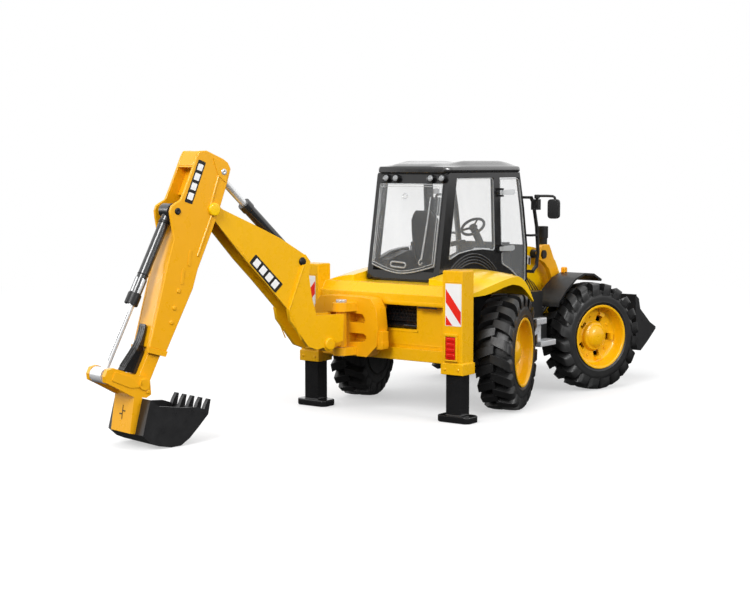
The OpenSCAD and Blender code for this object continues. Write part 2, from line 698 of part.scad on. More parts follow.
module loader_arms() {
    arm = [[104, 112], [106, 117], [110, 118.8], [120, 118.8], [124, 113], [138, 91], [150, 88],
        [170, 80], [180, 66], [187, 55], [194.2, 39.9], [196.4, 36.8], [195.4, 33], [192, 31.5],
        [188, 34], [176, 52], [164, 66], [146, 74], [132, 79], [120, 98], [112, 104],
        [105.5, 106.5]];
    color(yellow) place() {
        both() difference() {
            side(arm, 29, 33);
            bar_x(3.5 + run, 20, 40, loader_pivot);
            bar_x(2.2, 20, 40, shovel_pivot);
        }
        both() bar_x(1.8, 23.1, 29.2, tilt_foot);
        both() bar_x(2.2, 29, 37, shovel_pivot);
        bar_x(4, -29.2, 29.2, [176, 62]);
    }
}

module loader_bucket() {
    outer = [[195, 74], [197, 55], [197, 34], [200, 27], [207, 24.5], [221, 32], [235.5, 41],
        [235.5, 43]];
    inner = [[234, 42.8], [220, 34], [206.8, 26.7], [201.4, 28.6], [199, 34.4], [199, 55],
        [197.2, 74]];
    color(black) place() {
        side(concat(outer, inner), -shovel_x, shovel_x);
        both() side([[195, 74], [197, 55], [197, 34], [200, 27], [207, 24.5], [221, 32],
            [235.5, 41], [235.5, 43], [224, 48], [205, 61], [202, 70]], shovel_x - 2, shovel_x);
        // ears: hinge ears outside the arms, and ears for the tilt rams
        both() difference() {
            union() {
                side([[198, 28], [190, 30.5], [186.5, 36], [190, 41.5], [198, 46]], 33.5, 36.5);
                bar_x(4.2, 33.5, 36.5, shovel_pivot);
                side([[198, 54], [189, 59.6], [187, 63], [189, 66.6], [198, 71]], 20.2, 23.1);
            }
            bar_x(2.2 + run, 20, 40, shovel_pivot);
        }
    }
}

module lift_ram_barrels() color(black) place() both() difference() {
    union() {
        bar_x(4, 23.3, 28.6, lift_foot);
        along_y(lift_foot, lift_eye, 26) cylinder(r = 2.4, h = 44);
    }
    bar_x(1.8 + run, 20, 30, lift_foot);
    along_y(lift_foot, lift_eye, 26) translate([0, 0, 4]) cylinder(r = 1.5 + run, h = 60);
}

module lift_ram_rods() color(silver) place() both() {
    bar_x(3.2, 23.3, 28.6, lift_eye);
    along_y(lift_eye, lift_foot, 26) cylinder(r = 1.5, h = 43.3);
}

module tilt_ram_barrels() color(black) place() both() difference() {
    union() {
        bar_x(3.6, 23.3, 28.6, tilt_foot);
        along_y(tilt_foot, tilt_eye, 26) cylinder(r = 2.4, h = 35.4);
    }
    bar_x(1.8 + run, 20, 30, tilt_foot);
    along_y(tilt_foot, tilt_eye, 26) translate([0, 0, 4]) cylinder(r = 1.5 + run, h = 60);
}

module tilt_ram_rods() color(silver) place() both() {
    bar_x(2.7, 23.5, 28.6, tilt_eye);
    along_y(tilt_eye, tilt_foot, 26) cylinder(r = 1.5, h = 34);
}

// ---------------------------------------------------------------- nodes

chassis();
knuckle(-1, front_axle_y, -front_turn);  // front_left_knuckle
knuckle(1, front_axle_y, -front_turn);  // front_right_knuckle
knuckle(-1, rear_axle_y, rear_turn);  // rear_left_knuckle
knuckle(1, rear_axle_y, rear_turn);  // rear_right_knuckle
tie_rod(front_axle_y, -front_turn);  // front_tie_rod
tie_rod(rear_axle_y, rear_turn);  // rear_tie_rod
rim(-1, front_axle_y, -front_turn);  // front_left_rim
rim(1, front_axle_y, -front_turn);  // front_right_rim
rim(-1, rear_axle_y, rear_turn);  // rear_left_rim
rim(1, rear_axle_y, rear_turn);  // rear_right_rim
tyre(-1, front_axle_y, -front_turn);  // front_left_tyre
tyre(1, front_axle_y, -front_turn);  // front_right_tyre
tyre(-1, rear_axle_y, rear_turn);  // rear_left_tyre
tyre(1, rear_axle_y, rear_turn);  // rear_right_tyre
rear_frame();
rear_grille();
mirror([1, 0, 0]) stabiliser();  // left_stabiliser
stabiliser();  // right_stabiliser
tail_lamps();
body_shell();
cab_floor();
cab_frame();
roof();
work_lamps();
rear_window();
cab_windows();
mirror([1, 0, 0]) door();  // left_door
door();  // right_door
seat();
steering_wheel();
bonnet();
front_grille();
exhaust();
front_fenders();
steps();
mirror_rails();
mirror([1, 0, 0]) mirror_head();  // left_mirror
mirror_head();  // right_mirror
carriage();
swing_pin();
kingpost();
boom();
boom_pins();
dipper();
dipper_pins();
inner_dipper();
hose_guard();
dipper_ram_barrel();
dipper_ram_rod();
bucket_ram_barrel();
bucket_ram_rod();
bucket_carrier();
digger_bucket();
loader_arms();
loader_bucket();
lift_ram_barrels();
lift_ram_rods();
tilt_ram_barrels();
tilt_ram_rods();
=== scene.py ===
"""Toy backhoe loader: the looks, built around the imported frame. Metres, in the frame's axes."""
import math

import bmesh
import bpy
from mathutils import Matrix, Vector


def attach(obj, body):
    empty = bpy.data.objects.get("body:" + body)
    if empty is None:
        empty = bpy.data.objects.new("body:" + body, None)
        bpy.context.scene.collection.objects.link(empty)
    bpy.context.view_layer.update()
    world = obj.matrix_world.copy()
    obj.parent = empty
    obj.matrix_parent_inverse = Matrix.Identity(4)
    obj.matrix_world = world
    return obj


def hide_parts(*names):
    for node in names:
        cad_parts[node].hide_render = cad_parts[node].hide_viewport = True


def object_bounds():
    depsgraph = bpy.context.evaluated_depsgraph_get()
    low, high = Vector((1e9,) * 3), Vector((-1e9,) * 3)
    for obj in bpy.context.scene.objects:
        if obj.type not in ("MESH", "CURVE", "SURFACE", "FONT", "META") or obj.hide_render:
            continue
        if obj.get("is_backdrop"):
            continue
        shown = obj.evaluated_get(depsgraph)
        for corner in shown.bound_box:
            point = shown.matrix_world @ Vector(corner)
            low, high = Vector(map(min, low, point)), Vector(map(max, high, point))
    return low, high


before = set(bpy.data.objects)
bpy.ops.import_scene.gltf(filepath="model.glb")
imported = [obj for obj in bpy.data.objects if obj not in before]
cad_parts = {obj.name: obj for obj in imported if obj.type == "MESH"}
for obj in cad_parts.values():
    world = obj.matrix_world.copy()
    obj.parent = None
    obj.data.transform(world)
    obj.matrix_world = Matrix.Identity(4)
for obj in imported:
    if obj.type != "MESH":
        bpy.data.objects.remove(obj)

cad_low, cad_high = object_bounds()
MM = 0.001
# all lengths below are millimetres on the vehicle: X right, Y forwards, Z up from the ground
MID_Y = -33.17                  # Y of the frame's origin
SWING = (-19.0, -95.5)          # the swing pin, from above
TURN = math.radians(12)         # how far the boom is swung
LEAN = math.atan(14 / 78.5)     # how far the cab's rear wall leans
CAB_X = 33.0                    # half the cab's width
KING_X, WHEEL_OUT, AXLE_Z = 56.0, 10.0, 44.0
HINGE_Z = (119, 163)
LAMP_X, LAMP_UP = (-23, -14, 18, 28), 76.3
FILM_X, FILM_Z = (59.3, 72.9), (70.0, 100.4)
MIRROR_AT, MIRROR_TURN = (42.6, 82.2), math.radians(14)
# places in the digger's plane, as (reach, height)
CROWD_EYE, ELBOW, CROWD_FOOT, BOOM_FOOT = (112.5, 180), (121.1, 154.9), (42.8, 116.4), (19, 55.5)
RAM_EYE, DRUM, WRIST = Vector((150.1, 154.3)), Vector((203.7, 49.4)), Vector((179, 42.2))
REAR_AXLE, FRONT_AXLE = -2.7, 136.0


# ------------------------------------------------------------------ places
def veh(x, y, z):
    """A place on the vehicle, in millimetres, as a point of the frame."""
    return Vector((x * MM, (y - MID_Y) * MM, z * MM))


def dig(u, z, n):
    """A place in the digger's plane: reach, height and how far across."""
    c, s = math.cos(TURN), math.sin(TURN)
    return veh(SWING[0] + n * c - u * s, SWING[1] - n * s - u * c, z)


def pane(x, z, y):
    """A place on the cab's leaning rear wall: across, up it, and forwards from it."""
    c, s = math.cos(LEAN), math.sin(LEAN)
    return veh(x, -45 + y * c + z * s, 99 - y * s + z * c)


def side(y, z, x):
    """For an outline seen from the side, with its thickness across the vehicle."""
    return veh(x, y, z)


def face(x, z, y):
    """For an outline seen from behind, with its thickness along the vehicle."""
    return veh(x, y, z)


def plan(x, y, z):
    """For an outline seen from above, with its thickness in height."""
    return veh(x, y, z)


def wheel(sx, axle_y, turn):
    """Places about a wheel: x out along its axle, y and z across it."""
    a = math.radians(turn) + (math.pi if sx < 0 else 0)
    c, s = math.cos(a), math.sin(a)

    def at(x, y, z):
        lx = WHEEL_OUT + x
        return veh(sx * KING_X + lx * c - y * s, axle_y + lx * s + y * c, AXLE_Z + z)
    return at


# ------------------------------------------------------------------ materials
def nodes_of(name):
    m = bpy.data.materials.new(name)
    m.use_nodes = True
    t = m.node_tree
    return m, t, t.nodes["Principled BSDF"]


def noise(t, scale, detail=3.0, rough=0.55, stretch=None):
    co = t.nodes.new("ShaderNodeTexCoord")
    n = t.nodes.new("ShaderNodeTexNoise")
    n.inputs["Scale"].default_value = scale
    n.inputs["Detail"].default_value = detail
    n.inputs["Roughness"].default_value = rough
    if stretch:
        mp = t.nodes.new("ShaderNodeMapping")
        mp.inputs["Scale"].default_value = stretch
        t.links.new(co.outputs["Object"], mp.inputs["Vector"])
        t.links.new(mp.outputs["Vector"], n.inputs["Vector"])
    else:
        t.links.new(co.outputs["Object"], n.inputs["Vector"])
    return n.outputs["Fac"]


def ranged(t, value, low, high, from_low=0.3, from_high=0.7):
    r = t.nodes.new("ShaderNodeMapRange")
    r.inputs["From Min"].default_value = from_low
    r.inputs["From Max"].default_value = from_high
    r.inputs["To Min"].default_value = low
    r.inputs["To Max"].default_value = high
    t.links.new(value, r.inputs["Value"])
    return r.outputs["Result"]


def mixed(t, fac, a, b):
    m = t.nodes.new("ShaderNodeMix")
    m.data_type = "RGBA"
    for socket, v in (("A", a), ("B", b)):
        s = [i for i in m.inputs if i.name == socket and i.type == "RGBA"][0]
        if isinstance(v, bpy.types.NodeSocket):
            t.links.new(v, s)
        else:
            s.default_value = (*v, 1)
    t.links.new(fac, m.inputs["Factor"])
    return [o for o in m.outputs if o.type == "RGBA"][0]


def edges(t, radius, gain):
    """1 on sharp edges and 0 on flat faces."""
    b = t.nodes.new("ShaderNodeBevel")
    b.samples = 4
    b.inputs["Radius"].default_value = radius
    g = t.nodes.new("ShaderNodeNewGeometry")
    d = t.nodes.new("ShaderNodeVectorMath")
    d.operation = "DOT_PRODUCT"
    t.links.new(b.outputs["Normal"], d.inputs[0])
    t.links.new(g.outputs["Normal"], d.inputs[1])
    return ranged(t, d.outputs["Value"], gain, 0.0, 0.75, 0.995)


def plastic(name, rgb, rough, spread=0.06, wear_and_highlight=None, grain=0.1, grain_scale=900.0, coat=0.0,
            metallic=0.0, specular=0.5, edge_gain=0.5):
    m, t, p = nodes_of(name)
    dark = tuple(c * (1 - spread) for c in rgb)
    light = tuple(min(1, c * (1 + spread)) for c in rgb)
    colour = mixed(t, ranged(t, noise(t, 70, 4), 0, 1), dark, light)
    # sharp edges turn lighter: partly edge wear, partly a painted highlight where the edges catch the
    # light
    if wear_and_highlight:
        worn_and_lit = t.nodes.new("ShaderNodeMath")
        worn_and_lit.operation = "MULTIPLY"
        t.links.new(edges(t, 0.0007, edge_gain), worn_and_lit.inputs[0])
        t.links.new(ranged(t, noise(t, 420, 2), 0.35, 1), worn_and_lit.inputs[1])
        colour = mixed(t, worn_and_lit.outputs[0], colour, wear_and_highlight)
    t.links.new(colour, p.inputs["Base Color"])
    t.links.new(ranged(t, noise(t, 160, 5, 0.65), rough * 0.8, rough * 1.25), p.inputs["Roughness"])
    p.inputs["Metallic"].default_value = metallic
    p.inputs["Specular IOR Level"].default_value = specular
    p.inputs["Coat Weight"].default_value = coat
    p.inputs["Coat Roughness"].default_value = 0.08
    b = t.nodes.new("ShaderNodeBump")
    b.inputs["Strength"].default_value = grain
    b.inputs["Distance"].default_value = 0.0002
    t.links.new(noise(t, grain_scale, 3), b.inputs["Height"])
    t.links.new(b.outputs["Normal"], p.inputs["Normal"])
    return m


def clear_plastic(name, tint, low, high):
    m, t, p = nodes_of(name)
    t.links.new(mixed(t, noise(t, 40, 3), tint, tuple(min(1, c * 1.08) for c in tint)),
                p.inputs["Base Color"])
    lw = t.nodes.new("ShaderNodeLayerWeight")
    lw.inputs["Blend"].default_value = 0.35
    shown = t.nodes.new("ShaderNodeMath")
    shown.operation = "ADD"
    t.links.new(ranged(t, lw.outputs["Facing"], low, high, 0.0, 1.0), shown.inputs[0])
    t.links.new(ranged(t, noise(t, 26, 4, 0.6, (1, 1, 0.25)), -0.02, 0.04), shown.inputs[1])
    t.links.new(shown.outputs[0], p.inputs["Alpha"])
    t.links.new(ranged(t, noise(t, 120, 4), 0.05, 0.12), p.inputs["Roughness"])
    p.inputs["Specular IOR Level"].default_value = 0.6
    p.inputs["Coat Weight"].default_value = 0.3
    p.inputs["Coat Roughness"].default_value = 0.03
    b = t.nodes.new("ShaderNodeBump")
    b.inputs["Strength"].default_value = 0.12
    b.inputs["Distance"].default_value = 0.0008
    t.links.new(noise(t, 55, 2), b.inputs["Height"])
    t.links.new(b.outputs["Normal"], p.inputs["Normal"])
    return m


# the colour after each finish's spread is its lighter edge colour: partly edge wear, partly painted edge
# highlight
MAT = {
    "yellow": plastic("yellow_gloss", (0.78, 0.365, 0.003), 0.30, 0.015, (0.92, 0.50, 0.02), 0.03,
                      coat=0.12, edge_gain=0.4, specular=0.35),
    "yellow_frame": plastic("yellow_frame", (0.80, 0.42, 0.002), 0.28, 0.015, (0.95, 0.56, 0.02),
                            0.03, coat=0.15, edge_gain=0.4, specular=0.35),
    "yellow_fender": plastic("yellow_moulded", (0.86, 0.52, 0.0015), 0.22, 0.012,
                             (0.98, 0.66, 0.02), 0.03, coat=0.35, edge_gain=0.4, specular=0.35),
    "rim": plastic("yellow_rim", (0.82, 0.42, 0.002), 0.24, 0.02, (0.97, 0.60, 0.02), 0.04,
                   coat=0.25, edge_gain=0.5, specular=0.4),
    "black": plastic("black_satin", (0.0075, 0.0075, 0.008), 0.38, 0.2, (0.02, 0.02, 0.022),
                     0.15, 900.0, specular=0.35),
    "gloss": plastic("black_gloss", (0.009, 0.009, 0.0095), 0.17, 0.15, (0.016, 0.016, 0.018),
                     0.03, coat=0.4, specular=0.4),
    "roof": plastic("roof_gloss", (0.010, 0.010, 0.0105), 0.24, 0.12, (0.03, 0.03, 0.032), 0.05,
                    coat=1.0, specular=0.9),
    "graphite": plastic("graphite_satin", (0.012, 0.012, 0.0128), 0.32, 0.18,
                        (0.026, 0.026, 0.028), 0.2, 1300.0, specular=0.4),
    "rubber": plastic("tyre_rubber", (0.012, 0.012, 0.0122), 0.38, 0.3, (0.024, 0.024, 0.025),
                      0.3, 1500.0, specular=0.45),
    "silver": plastic("silver_paint", (0.60, 0.61, 0.63), 0.30, 0.06, (0.85, 0.86, 0.88), 0.15,
                      1500.0, metallic=0.35),
    "chrome": plastic("plated_rod", (0.80, 0.81, 0.82), 0.22, 0.03, (0.95, 0.95, 0.96), 0.03,
                      metallic=0.45),
    "pin": plastic("turned_pin", (0.60, 0.61, 0.62), 0.28, 0.06, (0.8, 0.8, 0.8), 0.1,
                   metallic=0.6),
    "ram": plastic("ram_grey", (0.016, 0.0165, 0.018), 0.24, 0.12, (0.05, 0.05, 0.053), 0.08,
                   coat=0.5, specular=0.6),
    "red": plastic("red_lens", (0.66, 0.012, 0.006), 0.14, 0.12, (0.95, 0.12, 0.08), 0.04, coat=0.5),
    "red_film": plastic("red_film", (0.74, 0.018, 0.008), 0.34, 0.05, None, 0.06, specular=0.3),
    "white_film": plastic("white_film", (0.80, 0.80, 0.80), 0.34, 0.03, None, 0.06),
    "amber": plastic("amber_lens", (0.90, 0.36, 0.004), 0.16, 0.1, (1.0, 0.6, 0.2), 0.04, coat=0.5),
    "clear": clear_plastic("clear_plastic", (0.62, 0.64, 0.65), 0.015, 0.26),
    "clear_trim": clear_plastic("clear_trim", (0.60, 0.62, 0.63), 0.24, 0.75),
    "lens": clear_plastic("lamp_lens", (0.30, 0.31, 0.32), 0.8, 0.95),
}


# ------------------------------------------------------------------ mesh building
def finish_look(o, bevel, segments=2, angle=32):
    """Rounded edges and even shading, as modifiers."""
    if bevel:
        b = o.modifiers.new("rounded", "BEVEL")
        b.width = bevel * MM
        b.segments = segments
        b.limit_method = "ANGLE"
        b.angle_limit = math.radians(angle)
        b.use_clamp_overlap = True
        b.miter_outer = "MITER_ARC"
    w = o.modifiers.new("shading", "WEIGHTED_NORMAL")
    w.keep_sharp = False
    w.weight = 60


class Shape:
    """Gathers closed solids into one mesh."""

    def __init__(self):
        self.bm = bmesh.new()

    def _add(self, points, polygons):
        vs = [self.bm.verts.new(p) for p in points]
        for f in polygons:
            if len(set(f)) > 2:
                self.bm.faces.new([vs[i] for i in f])

    def prism(self, pts, lo, hi, at):
        """An outline in the first two coordinates of at(), from lo to hi in its third."""
        n = len(pts)
        self._add([at(a, b, lo) for a, b in pts] + [at(a, b, hi) for a, b in pts],
                  [list(range(n))[::-1], list(range(n, 2 * n))]
                  + [[i, (i + 1) % n, n + (i + 1) % n, n + i] for i in range(n)])
        return self

    def box(self, a, b, at=veh):
        pts = [(a[0], a[1]), (b[0], a[1]), (b[0], b[1]), (a[0], b[1])]
        return self.prism(pts, a[2], b[2], at)

    def rings(self, rings, closed=False, caps=True):
        """A skin over rings of equal length. closed joins the last ring to the first."""
        m, n = len(rings), len(rings[0])
        polygons = [[i * n + j, i * n + (j + 1) % n, ((i + 1) % m) * n + (j + 1) % n,
                     ((i + 1) % m) * n + j]
                    for i in range(m if closed else m - 1) for j in range(n)]
        if caps and not closed:
            polygons += [list(range(n)), [(m - 1) * n + j for j in range(n)][::-1]]
        self._add([p for r in rings for p in r], polygons)
        return self

    def lathe(self, profile, at, steps=64):
        """A closed profile of (radius, along) turned about at()'s first coordinate."""
        out = []
        for k in range(steps):
            a = 2 * math.pi * k / steps
            out.append([at(x, r * math.cos(a), r * math.sin(a)) for r, x in profile])
        return self.rings(out, closed=True)

    def tube(self, points, radius, steps=10, flat=1.0):
        """A bar along points of the frame, bent smoothly by the points given."""
        points = [Vector(p) for p in points]
        rings, up = [], None
        for i, p in enumerate(points):
            d = (points[min(i + 1, len(points) - 1)] - points[max(i - 1, 0)]).normalized()
            if up is None:
                up = d.orthogonal().normalized()
            up = (up - d * up.dot(d)).normalized()
            w = d.cross(up)
            r = (radius[i] if isinstance(radius, (list, tuple)) else radius) * MM
            rings.append([p + up * r * math.cos(2 * math.pi * k / steps)
                          + w * r * flat * math.sin(2 * math.pi * k / steps)
                          for k in range(steps)])
        return self.rings(rings)

    def cut(self, cutter):
        """Takes another shape's solids away."""
        a, b = self._mesh("cut_a"), cutter._mesh("cut_b")
        oa, ob = bpy.data.objects.new("cut_a", a), bpy.data.objects.new("cut_b", b)
        for o in (oa, ob):
            bpy.context.scene.collection.objects.link(o)
        m = oa.modifiers.new("cut", "BOOLEAN")
        m.operation, m.object, m.solver = "DIFFERENCE", ob, "EXACT"
        dg = bpy.context.evaluated_depsgraph_get()
        self.bm = bmesh.new()
        done = oa.evaluated_get(dg).to_mesh()
        self.bm.from_mesh(done)
        for o in (oa, ob):
            bpy.data.objects.remove(o)
        bmesh.ops.dissolve_limit(self.bm, angle_limit=math.radians(0.4), verts=self.bm.verts,
                                 edges=self.bm.edges)
        return self

    def _mesh(self, name):
        bmesh.ops.recalc_face_normals(self.bm, faces=self.bm.faces)
        me = bpy.data.meshes.new(name)
        self.bm.to_mesh(me)
        self.bm.free()
        return me

    def done(self, name, body, mat, bevel=0.3, segments=2, slot=None, replaces=(), angle=32):
        """Makes the piece, with its material, and lets it ride on its body."""
        me = self._mesh(name)
        for p in me.polygons:
            p.use_smooth = True
        me.materials.append(MAT[mat])
        o = bpy.data.objects.new(name, me)
        bpy.context.scene.collection.objects.link(o)
        finish_look(o, bevel, segments, angle)
        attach(o, body)
        if replaces:
            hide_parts(*replaces)
        return o


def arc(centre, r, a0, a1, steps):
    """Points on a circle's arc, between two angles in degrees."""
    return [(centre[0] + r * math.cos(math.radians(a0 + (a1 - a0) * k / steps)),
             centre[1] + r * math.sin(math.radians(a0 + (a1 - a0) * k / steps)))
            for k in range(steps + 1)]


def rounded(pts, r, steps=5):
    """An outline with its corners rounded by radius r."""
    out, n = [], len(pts)
    for i in range(n):
        p, a, b = Vector(pts[i]), Vector(pts[i - 1]), Vector(pts[(i + 1) % n])
        u, v = (a - p), (b - p)
        k = min(r, u.length * 0.45, v.length * 0.45)
        s, e = p + u.normalized() * k, p + v.normalized() * k
        for j in range(steps + 1):
            t = j / steps
            out.append(tuple(s * (1 - t) ** 2 + p * 2 * t * (1 - t) + e * t * t))
    return out


def round_box(a, b, r):
    """A rectangle between two corners, with its corners rounded."""
    return rounded([(a[0], a[1]), (b[0], a[1]), (b[0], b[1]), (a[0], b[1])], r)


# ------------------------------------------------------------------ CAD nodes that stay
LOOKS = {
    "yellow": "carriage kingpost inner_dipper bucket_carrier loader_arms",
    "yellow_frame": "rear_frame boom",
    "yellow_fender": "body_shell bonnet",
    "black": "front_left_knuckle front_right_knuckle rear_left_knuckle rear_right_knuckle "
             "front_tie_rod rear_tie_rod rear_grille front_grille exhaust front_fenders "
             "mirror_rails hose_guard cab_floor chassis",
    "gloss": "cab_frame left_stabiliser right_stabiliser",
    "ram": "dipper_ram_barrel bucket_ram_barrel lift_ram_barrels tilt_ram_barrels",
    "graphite": "digger_bucket loader_bucket",
    "silver": "steps work_lamps",
    "pin": "swing_pin",
    "chrome": "dipper_ram_rod bucket_ram_rod lift_ram_rods tilt_ram_rods",
    "red": "tail_lamps",
    "clear": "cab_windows left_door right_door",
}
BEVEL = {"boom": 0.4, "dipper": 0.9, "carriage": 1.2, "rear_frame": 0.6, "body_shell": 0.8,
         "cab_frame": 0.7, "bonnet": 1.0, "bucket_carrier": 0.7, "digger_bucket": 0.35,
         "front_fenders": 0.5, "left_stabiliser": 0.9, "right_stabiliser": 0.9,
         "loader_bucket": 0.4, "loader_arms": 0.7, "left_door": 0.3, "right_door": 0.3,
         "cab_windows": 0.25, "mirror_rails": 0.8, "steps": 0.6}
for look, names in LOOKS.items():
    for name in names.split():
        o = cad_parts.get(name)
        if o is None:
            continue
        o.data.materials.clear()
        o.data.materials.append(MAT[look])
        weld = o.modifiers.new("weld", "WELD")
        weld.merge_threshold = 1e-5
        flat = o.modifiers.new("flat", "DECIMATE")
        flat.decimate_type = "DISSOLVE"
        flat.angle_limit = math.radians(0.5)
        finish_look(o, BEVEL.get(name, 0.35))


# ------------------------------------------------------------------ wheels
TYRE = [(25.1, -11.6), (26.2, -12.5), (28.0, -12.9), (28.5, -13.25), (29.2, -13.0), (32.0, -13.2),
        (34.6, -12.9), (36.6, -11.6), (37.6, -9.8), (38.0, -6), (38.1, 0)]
RIM = [(3.2, -4), (8.5, -4), (9, -3.6), (9, 0.6), (22.3, 1.4), (23.3, 0.4), (23.3, -12.2),
       (25.0, -12.5), (25.0, 12.2), (25.9, 12.7), (26.3, 13.05), (26.1, 13.42), (25.3, 13.5),
       (24.5, 13.2), (24.0, 12.4), (23.7, 10.5), (23.4, 7.2), (22.9, 5.2), (22.0, 4.1),
       (20.8, 3.7), (19.8, 3.6), (12.9, 3.3), (12.1, 3.8), (11.7, 5.4), (11.1, 6.3), (9.6, 6.8),
       (8.9, 7.7), (7.4, 8.9), (5.0, 9.7), (2.4, 10.0), (0.4, 10.05), (0.4, 4.1), (3.2, 4.1)]
LUG = [(-1.2, 43.6, 2.8), (1.5, 43.9, 3.0), (5.0, 43.9, 3.15), (8.5, 43.75, 3.3),
       (11.3, 43.3, 3.5), (12.8, 42.0, 3.5), (13.42, 39.4, 2.9), (13.4, 36.6, 1.3)]
LUGS = 20

for end, axle, turn in (("front", FRONT_AXLE, -19.9), ("rear", REAR_AXLE, 15.7)):
    for hand, sx in (("left", -1), ("right", 1)):
        at = wheel(sx, axle, turn)
        body = f"{end}_{hand}_wheel"
        tyre = Shape()
        profile = TYRE + [(r, -x) for r, x in TYRE[-2::-1]]
        tyre.lathe(profile, at, 96)
        tyre.lathe([(10.5, -12.9), (25.8, -12.9), (25.8, -12.3), (10.5, -12.3)], at, 64)
        for k in range(LUGS):
            for way in (1, -1):
                start = 360 / LUGS * (k + (0.5 if way < 0 else 0))
                rings = []
                for i, (x, r, w) in enumerate(LUG):
                    t = i / (len(LUG) - 1)
                    mid = math.radians(start + sx * 13 * t ** 1.3)
                    base = 36.6 - 2.4 * t
                    ring = []
                    for rr, ww in ((base, -w * 1.35), (r, -w), (r, w), (base, w * 1.35)):
                        a = mid + ww / 41
                        ring.append(at(way * x, rr * math.cos(a), rr * math.sin(a)))
                    rings.append(ring)
                tyre.rings(rings)
        tyre.done(f"{end}_{hand}_lugged_tyre", body, "rubber", 0.45, 2,
                  replaces=(f"{end}_{hand}_tyre",), angle=38)

        rim = Shape()
        rim.lathe(RIM, at, 72)
        slots = Shape()
        for k in range(5):
            a = math.radians(72 * k - 5)
            c, s = math.cos(a), math.sin(a)

            def on(x, y, z, c=c, s=s):
                return at(x, y * c - z * s, y * s + z * c)
            slots.box((-2, 12.6, -2.9), (7, 17.2, 2.9), on)
        rim.cut(slots)
        for k in range(5):
            a = math.radians(72 * k - 5)
            c, s = math.cos(a), math.sin(a)

            def on(x, y, z, c=c, s=s):
                return at(x, y * c - z * s, y * s + z * c)
            rim.prism([(3.0, 17.2), (6.2, 17.2), (6.0, 20.0), (3.0, 21.4)], -2.6, 2.6, on)
            a = math.radians(72 * k + 31)
            c, s = math.cos(a), math.sin(a)

            def on(x, y, z, c=c, s=s):
                return at(x, y * c - z * s, y * s + z * c)
            rim.lathe([(0.1, 2), (1.0, 2), (1.0, 4.2), (0.7, 4.5), (0.1, 4.5)],
                      lambda x, y, z, on=on: on(x, 16.4 + y, z), 12)
        rim.done(f"{end}_{hand}_dished_rim", body, "rim", 0.25, 2,
                 replaces=(f"{end}_{hand}_rim",))

# ------------------------------------------------------------------ rear frame
for sx in (-1, 1):
    hand = "right" if sx > 0 else "left"
    x0, x1 = FILM_X

    def on(x, z, y, sx=sx):
        return veh(sx * x, -75.2 - y, z)
    film = Shape()
    film.prism(round_box((x0, FILM_Z[0]), (x1, FILM_Z[1]), 0.6), 0.02, 0.16, on)
    film.done(f"{hand}_tower_film", "machine", "white_film", 0, slot="yellow_paint")
    bars = Shape()
    for top in (96.4, 77.4):
        # a band that falls towards the outside, cut off by the film's edges
        pts = [(x0 + 0.4, top), (x1 - 0.4, top - 16), (x1 - 0.4, top - 25.4), (x0 + 0.4, top - 9.4)]
        low, high = FILM_Z[0] + 0.4, FILM_Z[1] - 0.4
        clipped = []
        for i, (px, pz) in enumerate(pts):
            qx, qz = pts[(i + 1) % 4]
            clipped.append((px, pz))
            for lim in (low, high):
                if (pz - lim) * (qz - lim) < 0:
                    k = (lim - pz) / (qz - pz)
                    clipped.append((px + k * (qx - px), lim))
        clipped = [(px, pz) for px, pz in clipped if low - 1e-6 <= pz <= high + 1e-6]
        if len(clipped) > 2:
            bars.prism(clipped, 0.12, 0.26, on)
    bars.done(f"{hand}_tower_stripes", "machine", "red_film", 0, slot="red_lens")
    bezel = Shape()
    outer, inner = (58.9, 44.6, 70.4, 64.6), (60.4, 45.8, 68.9, 62.4)
    bezel.box((outer[0], outer[1], 0), (outer[2], inner[1], 2.1), on)
    bezel.box((outer[0], inner[3], 0), (outer[2], outer[3], 2.1), on)
    bezel.box((outer[0], inner[1] - 0.1, 0), (inner[0], inner[3] + 0.1, 2.1), on)
    bezel.box((inner[2], inner[1] - 0.1, 0), (outer[2], inner[3] + 0.1, 2.1), on)
    bezel.done(f"{hand}_lamp_bezel", "machine", "yellow_frame", 0.45)
    ribs = Shape()
    for z in (47.6, 51.4, 55.2, 59.0):
        ribs.box((61.6, z, 1.6), (67.9, z + 2.4, 2.3), on)
    ribs.done(f"{hand}_lamp_ribs", "machine", "red", 0.35)
    # the guide's top cap and its seam, and bolts on the collar
    trim = Shape()
    trim.prism(round_box((57.2, -75.0), (73.2, -60.2), 1.0), 108.9, 109.6,
               lambda x, y, z, sx=sx: veh(sx * x, y, z))
    trim.box((57.0, -75.45, 101.4), (73.2, -75.15, 101.8), lambda x, y, z, sx=sx: veh(sx * x, y, z))
    for x in (59.6, 70.8):
        trim.lathe([(0.1, 0), (1.1, 0), (1.1, 0.35), (0.8, 0.6), (0.1, 0.6)],
                   lambda a, y, z, x=x, sx=sx: veh(sx * (x + y), -76.1 - a, 38.6 + z), 16)
    trim.done(f"{hand}_tower_trim", "machine", "yellow_frame", 0.25)

# brick mesh over the cooling opening
mesh = Shape()
for i, z in enumerate((69.2, 71.8, 74.4, 77.0, 79.6, 82.2)):
    mesh.box((-28, -61.9, z), (28, -61.0, z + 0.9))
    for k in range(-9, 10):
        x = k * 3.1 + (1.55 if i % 2 else 0)
        if abs(x) < 27.6 and z < 82:
            mesh.box((x - 0.4, -61.8, z + 0.6), (x + 0.4, -61.0, z + 2.9))
mesh.done("grille_mesh", "machine", "black", 0.15, 1)
rail = Shape()
rail.tube([veh(x, -62.6, 66.2) for x in (-27.8, -10, 10, 27.8)], 1.35, 14)
rail.done("grille_bar", "machine", "gloss", 0)
